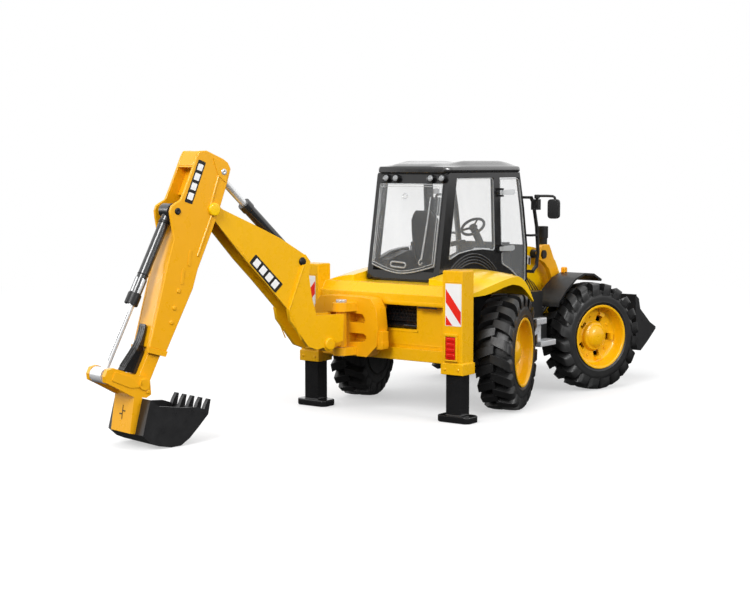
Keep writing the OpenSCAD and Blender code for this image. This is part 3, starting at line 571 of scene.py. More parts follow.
# raised edges of the upper beam and the panel's border
beam = Shape()
beam.prism([(-72.75, 83.0), (-72.75, 85.2), (-72.4, 85.2), (-72.4, 83.0)], -56.8, 56.8, side)
beam.prism([(-66.3, 52.2), (-66.3, 53.4), (-65.9, 53.4), (-65.9, 52.2)], -56, 56, side)
beam.prism([(-66.3, 62.0), (-66.3, 63.0), (-65.9, 63.0), (-65.9, 62.0)], -29.4, 29.4, side)
for x in (-29.4, 28.4):
    beam.prism([(-66.3, 62.0), (-66.3, 82.4), (-65.9, 82.4), (-65.9, 62.0)], x, x + 1.0, side)
beam.done("frame_edges", "machine", "yellow_frame", 0.15, 1)
slots = Shape()
slots.box((-52, -72.9, 80.9), (-38, -72.0, 82.1))
slots.box((34, -72.9, 80.9), (50, -72.0, 82.1))
slots.done("beam_slots", "machine", "black", 0.1, 1)

# ------------------------------------------------------------------ rear deck and wheel arches
# along the arch: its height at the cab, at the outside, the outer lip's lower edge and the inner
# wall's lower edge
ARCH = [(-60, 101.5, 91.9, 89.7, 91), (-50, 102.8, 93.4, 89.7, 91), (-40, 104.2, 95.2, 89.8, 91),
        (-27, 105.4, 97.4, 91.5, 91), (-13, 106.0, 99.6, 94.0, 91), (-2, 105.6, 101.0, 95.2, 91),
        (7, 103.8, 100.8, 93.9, 91), (12, 101.2, 99.0, 92.4, 91), (16.5, 97.8, 96.4, 90.0, 89.6),
        (20.5, 93.8, 93.0, 87.2, 87.4), (24, 89.4, 89.0, 84.4, 84.6), (27, 84.8, 84.6, 82.0, 82.0),
        (29.4, 81.3, 81.2, 80.0, 80.0)]


def arch_skin(zin, zout):
    """The crown of an arch from the cab outwards, as (x, z)."""
    return [(34.5 + 36.5 * t, zin + (zout - zin) * t ** 1.25 + 1.1 * math.sin(math.pi * t))
            for t in (0, 0.12, 0.25, 0.38, 0.5, 0.62, 0.74, 0.84, 0.93, 1)]


shell = Shape()
for sx in (-1, 1):
    rings = []
    for y, zin, zout, lip, foot in ARCH:
        skin = arch_skin(zin, zout)
        under = [(max(36.0, min(69.4, x)), z - 1.9) for x, z in skin]
        ring = [(34.5, foot)] + skin + [(71, lip), (69.4, lip)] + under[::-1] + [(36, foot)]
        low = min(foot, lip)
        ring = [(x, max(z, low)) for x, z in ring]
        rings.append([veh(sx * x, y, z) for x, z in ring])
    shell.rings(rings)
    end = [(34.6, 91)] + arch_skin(101.4, 91.8) + [(70.9, 89.8)]
    shell.prism(end, -59.95, -58.6, lambda x, z, y, sx=sx: veh(sx * x, y, z))
    shell.prism([(12, 91), (12, 98.2), (55, 98.2), (79, 85.5), (79, 84), (30, 84), (27, 91)],
                30.1, 36.4, lambda y, z, x, sx=sx: veh(sx * x, y, z))
shell.box((-57, -60, 91), (57, -42, 97))
shell.done("arched_shell", "machine", "yellow_fender", 0.9, 3, replaces=("body_shell",))

# ------------------------------------------------------------------ roof
roof = Shape()
rows, cols = 30, 28


def smooth(a, b, x):
    t = max(0.0, min(1.0, (x - a) / (b - a)))
    return t * t * (3 - 2 * t)


def roof_half(y):
    """Half the width of the roof at y."""
    w = 33.0 + 1.0 * smooth(-30, 5, y) - 0.6 * smooth(40, 70, y)
    w -= 3.2 * (1 - smooth(-33.5, -29.5, y)) ** 1.5
    return w - 17.5 * max(0.0, (y - 69) / 13.0) ** 2.2


def roof_top(x, y, w):
    swell = smooth(-28, 2, y) * (1 - smooth(50, 80, y))
    rail_up = smooth(0.45, 0.78, abs(x) / w)
    base = 184.2 + 0.9 * smooth(-33, -20, y) - 0.6 * smooth(60, 82, y)
    return base + (2.6 * swell - 0.9 * (1 - swell)) * rail_up + 0.9 * (1 - rail_up)


rings = []
for i in range(rows + 1):
    y = -33.5 + 115.4 * i / rows
    w = roof_half(y)
    ring = [(-(w - 2.2), 178.5), (-(w - 0.6), 178.7), (-w, 179.6), (-w - 0.15, 181.2), (-w + 0.5, 182.9)]
    top = [-(w - 2.0) + (2 * w - 4.0) * k / cols for k in range(cols + 1)]
    for x in top:
        z = roof_top(x, y, w)
        edge = smooth(w - 2.0, w - 8.0, abs(x))
        end = smooth(-33.5, -28.5, y) * (1 - smooth(77.5, 81.9, y))
        ring.append((x, 183.2 + (z - 183.2) * (0.12 + 0.88 * edge) * (0.1 + 0.9 * end)))
    ring += [(-x, z) for x, z in ring[4::-1]]
    rings.append([veh(x, y, z) for x, z in ring])
roof.rings(rings)
roof.done("swept_roof", "machine", "roof", 0.5, 2, replaces=("roof",), angle=50)
band = Shape()
band.prism(rounded([(-31.6, -31), (31.6, -31), (32.4, 66), (14, 77.6), (-14, 77.6), (-32.4, 66)], 3),
           176.6, 178.6, plan)
band.done("roof_band", "machine", "black", 0.3)

# ------------------------------------------------------------------ cab glass and trim
glass = Shape()


def bulge(x, z):
    return 1.9 * (1 - (x / 30) ** 2)


def pane_grid(inset, off):
    """Points of the rear pane: rows from bottom to top."""
    out = []
    for i in range(15):
        t = i / 14
        row = []
        for j in range(17):
            s = -1 + 2 * j / 16
            x = s * (28.8 - inset)
            low = 3.4 + inset + 6.4 * abs(s) ** 1.6
            z = low + (72.2 - inset - low) * t
            row.append(pane(x, z, -0.15 - bulge(x, z) - off))
        out.append(row)
    return out


def sheet_solid(shape, a, b):
    """A closed solid between two grids of points."""
    m, n = len(a), len(a[0])
    pts = [p for r in a for p in r] + [p for r in b for p in r]
    f = []
    for i in range(m - 1):
        for j in range(n - 1):
            q = [i * n + j, i * n + j + 1, (i + 1) * n + j + 1, (i + 1) * n + j]
            f += [q, [m * n + v for v in q[::-1]]]
    rim_ids = ([j for j in range(n)] + [i * n + n - 1 for i in range(1, m)]
               + [(m - 1) * n + j for j in range(n - 2, -1, -1)] + [i * n for i in range(m - 2, 0, -1)])
    for k, v in enumerate(rim_ids):
        w = rim_ids[(k + 1) % len(rim_ids)]
        f.append([v, m * n + v, m * n + w, w])
    shape._add(pts, f)
    return shape


sheet_solid(glass, pane_grid(0, 0.9), pane_grid(0, -0.1))
glass.done("rear_pane", "machine", "clear", 0.25, 2, replaces=("rear_window",), angle=50)


def pane_line(inset, off):
    g = pane_grid(inset, off)
    line = [g[0][j] for j in range(17)] + [g[i][16] for i in range(1, 15)]
    line += [g[14][j] for j in range(15, -1, -1)] + [g[i][0] for i in range(13, 0, -1)]
    return line


trim = Shape()
for inset, r in ((0.5, 0.42), (2.2, 0.3)):
    loop = pane_line(inset, 0.95)
    trim.tube(loop + loop[:1], r, 6)
# handle, knob and wiper, all moulded in clear plastic
handle = [pane(x, z, -3.6) for x, z in arc((-7.5, 10.6), 1.9, 90, 270, 6)]
handle += [pane(x, z, -3.6) for x, z in arc((2.5, 10.0), 1.9, -90, 90, 6)]
trim.tube(handle + handle[:1], 0.6, 6)
knob = [pane(x, z, -3.2) for x, z in arc((-3.0, 62.5), 2.0, 0, 360, 14)]
trim.tube(knob, 0.5, 6)
trim.done("rear_pane_trim", "machine", "clear_trim", 0)
wiper = Shape()
wiper.tube([pane(20.5, 62, -3.2), pane(20, 45, -3.3), pane(18.6, 25, -3.2), pane(17.6, 14.5, -3.0)],
           [0.5, 0.55, 0.6, 0.7], 8, 1.4)
loop = [pane(17.2 + 1.5 * math.cos(a / 8 * math.pi), 12.8 + 2.0 * math.sin(a / 8 * math.pi), -3.1)
        for a in range(4, 17)]
wiper.tube(loop, 0.45, 6)
wiper.done("rear_wiper", "machine", "clear_trim", 0)

for sx in (-1, 1):
    hand = "right" if sx > 0 else "left"

    def out(y, z, x, sx=sx):
        return veh(sx * x, y, z)
    line = [(-31.2, 113.4), (-20.6, 174.2), (31.2, 174.2), (34.2, 117.9), (17, 119.8), (0, 119.8),
            (-17, 118.0)]
    seal = Shape()
    loop = rounded(line, 4, 4)
    seal.tube([out(y, z, CAB_X - 0.4) for y, z in loop + loop[:1]], 0.45, 6)
    seal.done(f"{hand}_quarter_trim", "machine", "clear_trim", 0)
    d = Shape()
    line = [(41.4, 173.6), (45.2, 107.2), (57.4, 102.4), (68.4, 95.9), (78.6, 89.8), (80.8, 92.6),
            (80.8, 119.3), (75.2, 149.2), (69.4, 173.6)]
    loop = rounded(line, 3, 4)
    d.tube([out(y, z, CAB_X - 0.3) for y, z in loop + loop[:1]], 0.5, 6)
    for z in HINGE_Z:
        d.prism(rounded([(36.5, z - 1.6), (56, z - 2.3), (59, z - 1.2), (59, z + 1.4), (56, z + 2.3),
                         (36.5, z + 1.6)], 1.0), CAB_X + 2.75, CAB_X + 3.25, out)
    d.done(f"{hand}_door_trim", f"{hand}_door", "clear_trim", 0)
    # ribs over the wheel house, below the quarter window
    ribs = Shape()
    for k, r in enumerate((62, 64.3, 66.6, 68.9)):
        pts = [out(1 + r * math.sin(math.radians(a)) * 0.84, 47.8 + r * math.cos(math.radians(a)),
                   CAB_X + 0.15) for a in range(-42, 43, 6)]
        ribs.tube(pts, 0.6, 6)
    ribs.done(f"{hand}_wheelhouse_ribs", "machine", "ram", 0)
    sill = Shape()
    sill.prism(rounded([(6, 114.5), (30, 113), (30.5, 119.6), (8, 121)], 1.2), CAB_X - 3.6,
               CAB_X - 1.9, out)
    sill.done(f"{hand}_sill_box", "machine", "silver", 0.3)

lamps, lenses = Shape(), Shape()
for x in LAMP_X:
    def on(a, y, z, x=x):
        return pane(x + y, LAMP_UP + z, -a)
    lamps.lathe([(0.1, 0.2), (3.1, 0.2), (3.1, 2.6), (2.9, 3.3), (2.5, 3.3), (2.3, 2.4), (0.1, 2.2)],
                on, 28)
    lenses.lathe([(0.1, 2.0), (2.35, 2.0), (2.3, 2.9), (1.6, 3.3), (0.1, 3.45)], on, 24)
lamps.done("lamp_housings", "machine", "gloss", 0.12, 1, replaces=("work_lamps",))
lenses.done("lamp_lenses", "machine", "lens", 0.05, 1, slot="clear")

# ------------------------------------------------------------------ seat and steering wheel
seat = Shape()


def seat_row(y, z, half, thick, dish, lean):
    """A cross-section of the seat as a ring."""
    ring = []
    for k in range(24):
        a = 2 * math.pi * k / 24
        ca, sa = math.cos(a), math.sin(a)
        x = half * math.copysign(abs(ca) ** 0.45, ca)
        h = thick * math.copysign(abs(sa) ** 0.6, sa)
        if sa > 0:
            h -= dish * (1 - (x / half) ** 2)
        ring.append(veh(x, y + h * math.sin(lean), z + h * math.cos(lean)))
    return ring


seat.rings([seat_row(y, z, h, th, di, 0.0) for y, z, h, th, di in (
    (23.5, 109.5, 10.5, 2.0, 0.2), (22.0, 110.5, 12.6, 3.6, 0.8), (15, 111.0, 13.4, 4.2, 1.4),
    (5, 110.6, 13.4, 4.4, 1.6), (-4, 110.4, 13.2, 4.4, 1.2), (-9.5, 110.4, 12.4, 3.6, 0.4))])
seat.rings([seat_row(y, z, h, th, di, -1.42) for y, z, h, th, di in (
    (-7.0, 108.5, 12.0, 3.0, 0.2), (-8.4, 114, 13.2, 3.8, 1.0), (-10.6, 124, 13.4, 3.8, 1.5),
    (-12.6, 134, 13.0, 3.6, 1.4), (-14.2, 142, 12.2, 3.2, 1.0), (-15.2, 146.5, 10.0, 2.4, 0.4),
    (-15.6, 149.5, 7.6, 1.6, 0.1))])
seat.prism(rounded([(-5, 100.6), (16, 100.6), (13, 108), (-3, 108)], 1.5), -8, 8, side)
for sx in (-1, 1):
    seat.prism(rounded([(-9, 121.5), (14, 123.4), (17.5, 124.5), (16, 126.6), (-9, 125.0)], 1.2),
               *sorted((sx * 13.6, sx * 17.2)), side)
    seat.prism(rounded([(-9, 112), (-4, 112), (-4, 124.5), (-9, 124.5)], 1.0),
               *sorted((sx * 13.2, sx * 16.0)), side)
seat.done("moulded_seat", "machine", "black", 0.5, 2, replaces=("seat",))

wheel_shape = Shape()
t40 = math.radians(40)


def column(a, x, y):
    """a runs up the steering column."""
    return veh(x, 68 - a * math.sin(t40) + y * math.cos(t40), 118 + a * math.cos(t40) + y * math.sin(t40))


ring = [(9.5 + 1.15 * math.cos(math.radians(k * 36)), 22 + 1.15 * math.sin(math.radians(k * 36)))
        for k in range(10)]
wheel_shape.lathe(ring, column, 48)
wheel_shape.lathe([(0.1, 20.4), (3.2, 20.4), (3.6, 21.2), (3.0, 22.8), (1.2, 23.2), (0.1, 23.2)],
                  column, 24)
wheel_shape.lathe([(0.1, 12.2), (1.45, 12.2), (1.45, 20.8), (0.1, 20.8)], column, 20)
for a in (90, 210, 330):
    c, s = math.cos(math.radians(a)), math.sin(math.radians(a))
    wheel_shape.tube([column(21.6, 2.6 * c, 2.6 * s), column(21.9, 6 * c, 6 * s),
                      column(22, 9.2 * c, 9.2 * s)], 0.75, 8, 1.5)
wheel_shape.done("spoked_steering_wheel", "steering_wheel", "black", 0, replaces=("steering_wheel",))

# ------------------------------------------------------------------ bonnet details
for sx in (-1, 1):
    hand = "right" if sx > 0 else "left"

    def out(y, z, x, sx=sx):
        return veh(sx * x, y, z)
    grille = Shape()
    for k in range(4):
        y = 92 + k * 5.4
        grille.prism([(y, 96.5 - k * 2.4), (y + 4.0, 94.6 - k * 2.4), (y + 17, 80.5 - k * 1.2),
                      (y + 13, 82.4 - k * 1.2)], 22.45, 22.75, out)
    grille.done(f"{hand}_bonnet_slots", "machine", "black", 0.08, 1)
    badge = Shape()
    badge.prism(rounded([(94, 112.6), (108, 108.6), (107, 101.8), (93, 105.8)], 0.8), 22.45, 22.62,
                out)
    badge.done(f"{hand}_bonnet_plate", "machine", "white_film", 0, slot="yellow_plastic")
    bars = Shape()
    for k in range(3):
        bars.prism([(95.4 + k * 4.3, 111.0 - k * 1.25), (98.0 + k * 4.3, 110.2 - k * 1.25),
                    (97.2 + k * 4.3, 104.8 - k * 1.25), (94.6 + k * 4.3, 105.6 - k * 1.25)],
                   22.6, 22.74, out)
    bars.done(f"{hand}_bonnet_bars", "machine", "black", 0, slot="black_plastic")

# ------------------------------------------------------------------ front indicators
for sx in (-1, 1):
    lens = Shape()
    lens.prism([(133.6, 94.66), (136, 95.2), (138.4, 94.99), (138.4, 98.4), (137.2, 99.4),
                (134.8, 99.4), (133.6, 98.4)], 36.4, 40, lambda y, z, x, sx=sx: veh(sx * x, y, z))
    lens.done(f"{'right' if sx > 0 else 'left'}_front_indicator", "machine", "amber", 0.35)

# ------------------------------------------------------------------ mirrors
for sx in (-1, 1):
    hand = "right" if sx > 0 else "left"
    c, s = math.cos(MIRROR_TURN), math.sin(MIRROR_TURN)

    def mir(x, y, z, sx=sx):
        return veh(sx * (MIRROR_AT[0] + x * c - y * s), MIRROR_AT[1] + x * s + y * c, z)
    m = Shape()
    m.prism(rounded([(9.2, 141.6), (18.8, 141.6), (18.8, 157.2), (9.2, 157.2)], 3.2),
            -2.0, 2.0, lambda a, b, t, f=mir: f(a, t, b))
    m.tube([mir(0, 0, 159.6), mir(8, 0, 159.7), mir(13, 0, 159.5), mir(14.6, 0, 158.6),
            mir(15, 0, 156.8)], 1.05, 10)
    m.lathe([(1.2, 157.4), (2.1, 157.4), (2.2, 158), (2.2, 160.2), (1.9, 160.7), (1.2, 160.7)],
            lambda a, y, z, f=mir: f(y, z, a), 20)
    m.done(f"{hand}_mirror_head", f"{hand}_mirror", "black", 0.6, 3,
           replaces=(f"{hand}_mirror",), angle=40)
    g = Shape()
    g.prism(rounded([(10.2, 142.6), (17.8, 142.6), (17.8, 156.2), (10.2, 156.2)], 2.6),
            -2.25, -1.9, lambda a, b, t, f=mir: f(a, t, b))
    g.done(f"{hand}_mirror_glass", f"{hand}_mirror", "gloss", 0.1, 1, slot="black_plastic")

# ------------------------------------------------------------------ digger
# the clamp beside the carriage's plate
clamp = Shape()
clamp.prism(rounded([(5, 50), (11.2, 50), (11.2, 63.4), (5, 63.4)], 0.8), -86.0, -78.0, face)
clamp.prism(rounded([(9.4, 51.6), (11.6, 51.6), (11.6, 55.6), (9.4, 55.6)], 0.4), -86.4, -78.2, face)
clamp.done("carriage_clamp", "carriage", "yellow", 0.5)


def lerp(p, q, t):
    """The point t of the way from p to q."""
    return (p[0] + (q[0] - p[0]) * t, p[1] + (q[1] - p[1]) * t)


def in_quad(quad, s, t):
    """The point s across and t along a four-sided plate."""
    a, b, c, d = quad
    return lerp(lerp(a, b, s), lerp(d, c, s), t)


BOOM_PLATE = [(89.8, 117.6), (84.0, 123.2), (60.4, 101.0), (67.2, 95.2)]
DIPPER_PLATE = [(144.6, 160.6), (138.6, 158.6), (127.0, 186.4), (132.8, 188.4)]
for name, quad, outside in (("boom", BOOM_PLATE, 7.5), ("dipper", DIPPER_PLATE, 10)):
    for sgn in (1, -1):
        hand = "right" if sgn > 0 else "left"
        dark = Shape()
        lo, hi = sorted((sgn * (outside - 0.05), sgn * (outside + 0.12)))
        dark.prism(rounded(quad, 0.8, 3), lo, hi, dig)
        dark.done(f"{name}_plate_{hand}", name, "black", 0, slot="black_plastic")
        light = Shape()
        lo, hi = sorted((sgn * (outside + 0.05), sgn * (outside + 0.24)))
        for t0, t1 in ((0.08, 0.24), (0.31, 0.47), (0.54, 0.70), (0.77, 0.92)):
            bar = [in_quad(quad, s, t) for s, t in ((0.16, t0), (0.84, t0), (0.84, t1), (0.16, t1))]
            light.prism(rounded(bar, 0.5, 3), lo, hi, dig)
        light.done(f"{name}_plate_bars_{hand}", name, "white_film", 0, slot="silver_plastic")

# the dipper's cheeks, its closed top, the recess behind it and the wall along the ram
run = (DRUM - RAM_EYE).normalized()
cross = Vector((-run.y, run.x))


def on_slide(a, w):
    """A place up from the wrist along the slide, and out from it."""
    return tuple(WRIST - run * a + cross * w)


cheek = [(106.3, 182), (108.6, 186.2), (112.5, 188.8), (125.9, 194.3), (131.9, 194.1), (134.0, 191),
         (144.2, 168.5), (147.6, 161.8), (151.5, 159.9), (154.9, 158.0), (156.2, 154.3),
         (155.6, 149.7), (153.2, 136.1), (158.6, 119), (173.5, 65.8), (160.1, 62), (138.4, 102.5),
         (134.3, 115.1), (121.8, 141.6), (114.8, 158.1), (109.2, 173.1)]
dip = Shape()
dip.prism(cheek, 8, 10, dig)
dip.prism(cheek, -10, -8, dig)
dip.prism([(108.8, 186.2), (112.6, 188.6), (125.9, 194.1), (131.7, 194.0), (134.0, 190.6),
           (136.9, 184.2), (135.2, 183.2), (132.4, 189.4), (130.8, 192.1), (126.3, 192.1),
           (113.4, 186.8)], -8.1, 8.1, dig)
dip.prism([(135.2, 185.4), (137.4, 183.2), (130.4, 182.2), (129.6, 183.8)], -8.1, 8.1, dig)
dip.prism([(129.0, 184.0), (137.8, 164.6), (136.4, 163.8), (127.4, 183.2)], -8.1, 8.1, dig)
dip.prism([(143.6, 147), (146, 147.6), (152.4, 134), (158.6, 119), (173.5, 65.8), (171.7, 65.2),
           (156.8, 118.4), (150.6, 133.4)], -8.1, 8.1, dig)
dip.prism([on_slide(27.6, -7.8), on_slide(27.6, -6.2), on_slide(73, -6.2), on_slide(73, -7.8)],
          -8.1, 8.1, dig)
dip.done("plated_dipper", "dipper", "yellow", 0.7, 3, replaces=("dipper",))

pins = Shape()
for (u, z), r, h in ((CROWD_EYE, 2.3, 10.9), (ELBOW, 3.0, 10.4)):
    pins.lathe([(0.1, -h), (r - 0.5, -h), (r, -h + 0.5), (r, h - 0.5), (r - 0.5, h), (0.1, h)],
               lambda a, y, w, u=u, z=z: dig(u + y, z + w, a), 28)
pins.done("dipper_cross_pins", "dipper", "pin", 0.1, 1, replaces=("dipper_pins",))
pins = Shape()
pins.lathe([(0.1, -10.8), (1.9, -10.8), (2.3, -10.4), (2.3, 10.4), (1.9, 10.8), (0.1, 10.8)],
           lambda a, y, w: dig(RAM_EYE.x + y, RAM_EYE.y + w, a), 28)
pins.done("ram_cross_pin", "dipper", "black", 0.1, 1)
pins = Shape()
for sgn in (1, -1):
    pins.lathe([(0.1, 6.1), (2.4, 6.1), (3.0, 7.6), (3.0, 8.4), (2.5, 9.0), (0.1, 9.2)],
               lambda a, y, w, sgn=sgn: dig(CROWD_FOOT[0] + y, CROWD_FOOT[1] + w, sgn * a), 28)
pins.done("boom_ram_pins", "boom", "black", 0.1, 1, replaces=("boom_pins",))
pins = Shape()
pins.lathe([(0.1, -10.4), (2.5, -10.4), (2.5, 10.4), (0.1, 10.4)],
           lambda a, y, w: dig(BOOM_FOOT[0] + y, BOOM_FOOT[1] + w, a), 28)
for sgn in (1, -1):
    pins.lathe([(0.1, 9.0), (4.5, 9.0), (4.5, 10.0), (3.9, 10.6), (0.1, 10.6)],
               lambda a, y, w, sgn=sgn: dig(BOOM_FOOT[0] + y, BOOM_FOOT[1] + w, sgn * a), 28)
pins.done("boom_foot_pin", "boom", "yellow_frame", 0.1, 1)

# raised ledge, inset panel, bosses and slots on the dipper's cheeks; crease on the boom
for sgn in (1, -1):
    hand = "right" if sgn > 0 else "left"

    def out(u, z, n, sgn=sgn):
        return dig(u, z, sgn * n)
    ledge = Shape()
    path = [(116.7, 177.6), (124.4, 155.6), (122.9, 150.9), (134.8, 124.1)]
    ledge.tube([out(u, z, 10.0) for u, z in path], 0.75, 8)
    ledge.prism(rounded([(111.2, 183.0), (113.6, 186.4), (121.5, 189.9), (117.4, 178.2),
                         (111.2, 172.6), (109.0, 180.0)], 1.2), 9.9, 10.5, out)
    for u, z in ((141.8, 123.0), (147.6, 111.0)):
        ledge.prism(rounded([(u - 1.1, z - 5.5), (u + 1.0, z - 5.0), (u - 0.6, z + 5.5),
                             (u - 2.6, z + 5.0)], 0.9), 9.9, 10.35, out)
    for u, z in ((150.2, 101.5), (153.8, 90.5), (156.2, 81.0)):
        ledge.lathe([(0.1, 9.8), (1.5, 9.8), (1.5, 10.3), (1.1, 10.7), (0.1, 10.7)],
                    lambda a, y, w, u=u, z=z: out(u + y, z + w, a), 18)
    # collar at the dipper's lower end
    ledge.prism([(174.6, 66.4), (159.4, 62.0), (161.0, 58.6), (174.9, 62.6)], 8.2, 10.3, out)
    ledge.done(f"{hand}_dipper_ledge", "dipper", "yellow", 0.3)
    crease = Shape()
    crease.tube([out(u, z, 9.05) for u, z in ((42.5, 113.9), (56.0, 82.7), (45.3, 60.5))], 0.45, 8)
    for a, b in (((100.8, 129.5), (97.0, 125.3)), ((95.6, 124.0), (91.5, 119.5))):
        crease.prism([(a[0], a[1]), (a[0] - 1.0, a[1] + 0.9), (b[0] - 1.0, b[1] + 0.9), (b[0], b[1])],
                     7.45, 7.8, out)
    crease.done(f"{hand}_boom_crease", "boom", "yellow_frame", 0.15, 1)
    caps = Shape()
    caps.lathe([(0.1, 9.8), (4.4, 9.8), (4.4, 11.5), (3.8, 12.0), (0.1, 12.0)],
               lambda a, y, w: out(ELBOW[0] + y, ELBOW[1] + w, a), 28)
    caps.done(f"{hand}_elbow_cap", "dipper", "yellow_fender", 0.15, 1)
# quick hitch: raised triangle and square boss, and thin black lines on the plate: painted shade of its
# slots and creases
hitch = Shape()
for sgn in (1, -1):
    def out(u, z, n, sgn=sgn):
        return dig(u, z, sgn * n)
    hitch.prism(rounded([(201, 52.6), (188, 47.6), (181.5, 40.5), (190, 41.0), (203.5, 47.0)], 1.0),
                11.4, 12.1, out)
    hitch.prism(rounded([(181.6, 45.8), (176.6, 44.2), (177.6, 40.2), (182.4, 41.8)], 0.8), 11.4, 12.6,
                out)
    hitch.lathe([(0.1, 11.2), (1.4, 11.2), (1.4, 12.0), (1.0, 12.3), (0.1, 12.3)],
                lambda a, y, w, o=out: o(176.4 + y, 37.2 + w, a), 18)
hitch.done("hitch_panels", "bucket", "yellow", 0.25)
# black lines: painted shade standing in for the slots and creases of the hitch plate
marks = Shape()
d = Vector((186.6 - 190.4, 36 - 11)).normalized()
nrm = Vector((d.y, -d.x))


def on_hitch(v, n, h):
    p = Vector((190.4, 11)) + d * v + nrm * h
    return dig(p.x, p.y, n)


for pts in ([(8, -0.3), (17.5, -0.3), (17.5, 0.3), (8, 0.3)],
            [(11.2, -3.4), (12.0, -3.4), (12.0, -0.2), (11.2, -0.2)],
            [(13.4, 0.2), (14.2, 0.2), (14.2, 3.2), (13.4, 3.2)]):
    marks.prism(pts, 0.0, 0.25, on_hitch)
marks.done("hitch_painted_slot_shade", "bucket", "black", 0.05, 1)

def on_ram(a, y, z):
    """A place along the bucket ram and across it."""
    p = RAM_EYE + run * a + cross * y
    return dig(p.x, p.y, z)


def on_ram_point(a, r, angle):
    return on_ram(a, r * math.cos(angle), r * math.sin(angle))


# the curved guard over the hoses, with its grooves
guard = Shape()
guard.prism([on_slide(a, w) for a, w in (
    (5, 3.8), (20, 3.8), (22.8, 6.4), (27, 7.5), (37, 9.9), (37.4, 11.4), (32, 10.4), (27, 10.0),
    (22, 10.2), (17, 11.0), (12, 12.1), (7, 13.2), (3.4, 13.7), (3.0, 12.6), (4.2, 8))],
            -3.6, 3.6, dig)
for n in (-2.3, 0, 2.3):
    guard.tube([dig(*on_slide(a, w), n) for a, w in (
        (36, 11.2), (31, 10.2), (26, 9.9), (21, 10.3), (16, 11.2), (11, 12.3), (6, 13.4))],
               [0.3, 0.5, 0.6, 0.7, 0.8, 0.85, 0.85], 8)
guard.done("curved_hose_guard", "inner_dipper", "gloss", 0.5, 2, replaces=("hose_guard",), angle=50)

# the open window near the end of the bucket ram's barrel
window = Shape()
window.lathe([(3.3, 49.5), (3.72, 49.5), (3.72, 59.6), (3.3, 59.6)], lambda a, y, z: on_ram(a, y, z),
             32)
window.done("ram_window", "dipper", "chrome", 0)
bars = Shape()
for k in range(4):
    arc_pts = [on_ram_point(49.3, 3.75, math.radians(90 * k + 20 + 50 * j / 5)) for j in range(6)]
    arc_out = [on_ram_point(49.3, 3.98, math.radians(90 * k + 20 + 50 * j / 5)) for j in range(6)]
    far_pts = [on_ram_point(59.8, 3.75, math.radians(90 * k + 20 + 50 * j / 5)) for j in range(6)]
    far_out = [on_ram_point(59.8, 3.98, math.radians(90 * k + 20 + 50 * j / 5)) for j in range(6)]
    bars.rings([arc_pts + arc_out[::-1], far_pts + far_out[::-1]])
bars.done("ram_window_bars", "dipper", "ram", 0)

# thin black lines beside the bucket ram's rod, riding with it: painted shade of the rod's channel
rod_channel_shade = Shape()
for n in (-2.1, 2.1):
    rod_channel_shade.tube([on_ram(t, 1.25, n) for t in (72, 84, 96, 108)], 0.3, 6)
rod_channel_shade.done("bucket_ram_channel_shade", "bucket_ram_rod", "black", 0)

# collars on the ram barrels
col = Shape()


for t0, t1, r in ((7.5, 9.6, 4.0), (46, 47, 3.85), (60.2, 68.1, 4.6)):
    col.lathe([(3.0, t0), (r - 0.3, t0), (r, t0 + 0.3), (r, t1 - 0.3), (r - 0.3, t1), (3.0, t1)],
              on_ram, 32)
col.done("bucket_ram_collars", "dipper", "black", 0.1, 1)

# ------------------------------------------------------------------ stage, light and camera
floor_mesh = bpy.data.meshes.new("floor")
floor_mesh.from_pydata([(-60, -60, 0), (60, -60, 0), (60, 60, 0), (-60, 60, 0)], [], [(0, 1, 2, 3)])
floor = bpy.data.objects.new("floor", floor_mesh)
floor.location.z = -0.0002
floor.visible_diffuse = floor.visible_glossy = False
bpy.context.scene.collection.objects.link(floor)
pale, tree, shader = nodes_of("pale_floor")
shader.inputs["Roughness"].default_value = 0.6
shader.inputs["Specular IOR Level"].default_value = 0.2
tree.links.new(mixed(tree, noise(tree, 2, 2), (0.93, 0.93, 0.93), (0.95, 0.95, 0.95)),
               shader.inputs["Base Color"])
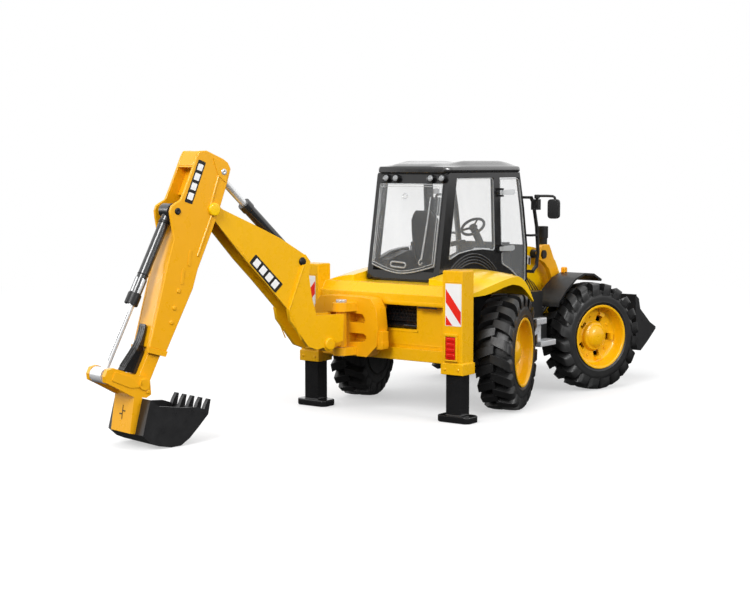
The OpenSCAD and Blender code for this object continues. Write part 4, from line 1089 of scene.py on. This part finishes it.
# the sheet glows where it runs up behind the object, so that no horizon shows
glow = tree.nodes.new("ShaderNodeEmission")
glow.inputs["Color"].default_value = (1, 1, 1, 1)
glow.inputs["Strength"].default_value = 1.0
spot = tree.nodes.new("ShaderNodeTexCoord")
away = tree.nodes.new("ShaderNodeVectorMath")
away.operation = "LENGTH"
tree.links.new(spot.outputs["Object"], away.inputs[0])
blend = tree.nodes.new("ShaderNodeMixShader")
tree.links.new(ranged(tree, away.outputs["Value"], 0.5, 1.0, 0.35, 1.2), blend.inputs[0])
tree.links.new(shader.outputs[0], blend.inputs[1])
tree.links.new(glow.outputs[0], blend.inputs[2])
tree.links.new(blend.outputs[0], tree.nodes["Material Output"].inputs["Surface"])
floor_mesh.materials.append(pale)
floor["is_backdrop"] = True

world = bpy.data.worlds.new("studio")
bpy.context.scene.world = world
world.use_nodes = True
wt = world.node_tree
where = wt.nodes.new("ShaderNodeTexCoord")
parts = wt.nodes.new("ShaderNodeSeparateXYZ")
wt.links.new(where.outputs["Generated"], parts.inputs[0])
wt.nodes["Background"].inputs["Color"].default_value = (1, 1, 1, 1)
wt.links.new(ranged(wt, parts.outputs["Z"], 0.05, 1.0, -0.03, -0.008),
             wt.nodes["Background"].inputs["Strength"])


def area(name, place, target, size, power):
    light = bpy.data.lights.new(name, "AREA")
    light.shape, light.size, light.energy = "DISK", size, power
    o = bpy.data.objects.new(name, light)
    o.location = place
    o.rotation_euler = (Vector(target) - Vector(place)).to_track_quat("-Z", "Y").to_euler()
    bpy.context.scene.collection.objects.link(o)
    return o


area("key", (0.3, -1.55, 1.05), (0, 0, 0.08), 0.7, 21)
area("side", (1.7, -0.1, 0.75), (0, 0, 0.08), 0.6, 12)
area("top", (-0.3, 0.4, 1.9), (0, 0, 0.05), 1.0, 3)
area("left", (-1.5, -1.0, 0.6), (0, 0, 0.1), 0.5, 5)

camera = bpy.data.objects.new("camera", bpy.data.cameras.new("camera"))
camera.data.lens = 71.69
camera.data.sensor_width = 36
camera.location = (0.6464, -0.92953, 0.1865)
camera.rotation_euler = (math.radians(90 - 5.27), 0, math.radians(36.2))
camera.data.clip_start, camera.data.clip_end = 0.05, 300
bpy.context.scene.collection.objects.link(camera)
bpy.context.scene.camera = camera
bpy.context.scene.view_settings.view_transform = "Standard"

low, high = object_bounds()
{"cad": [list(cad_low), list(cad_high)], "visual": [list(low), list(high)]}
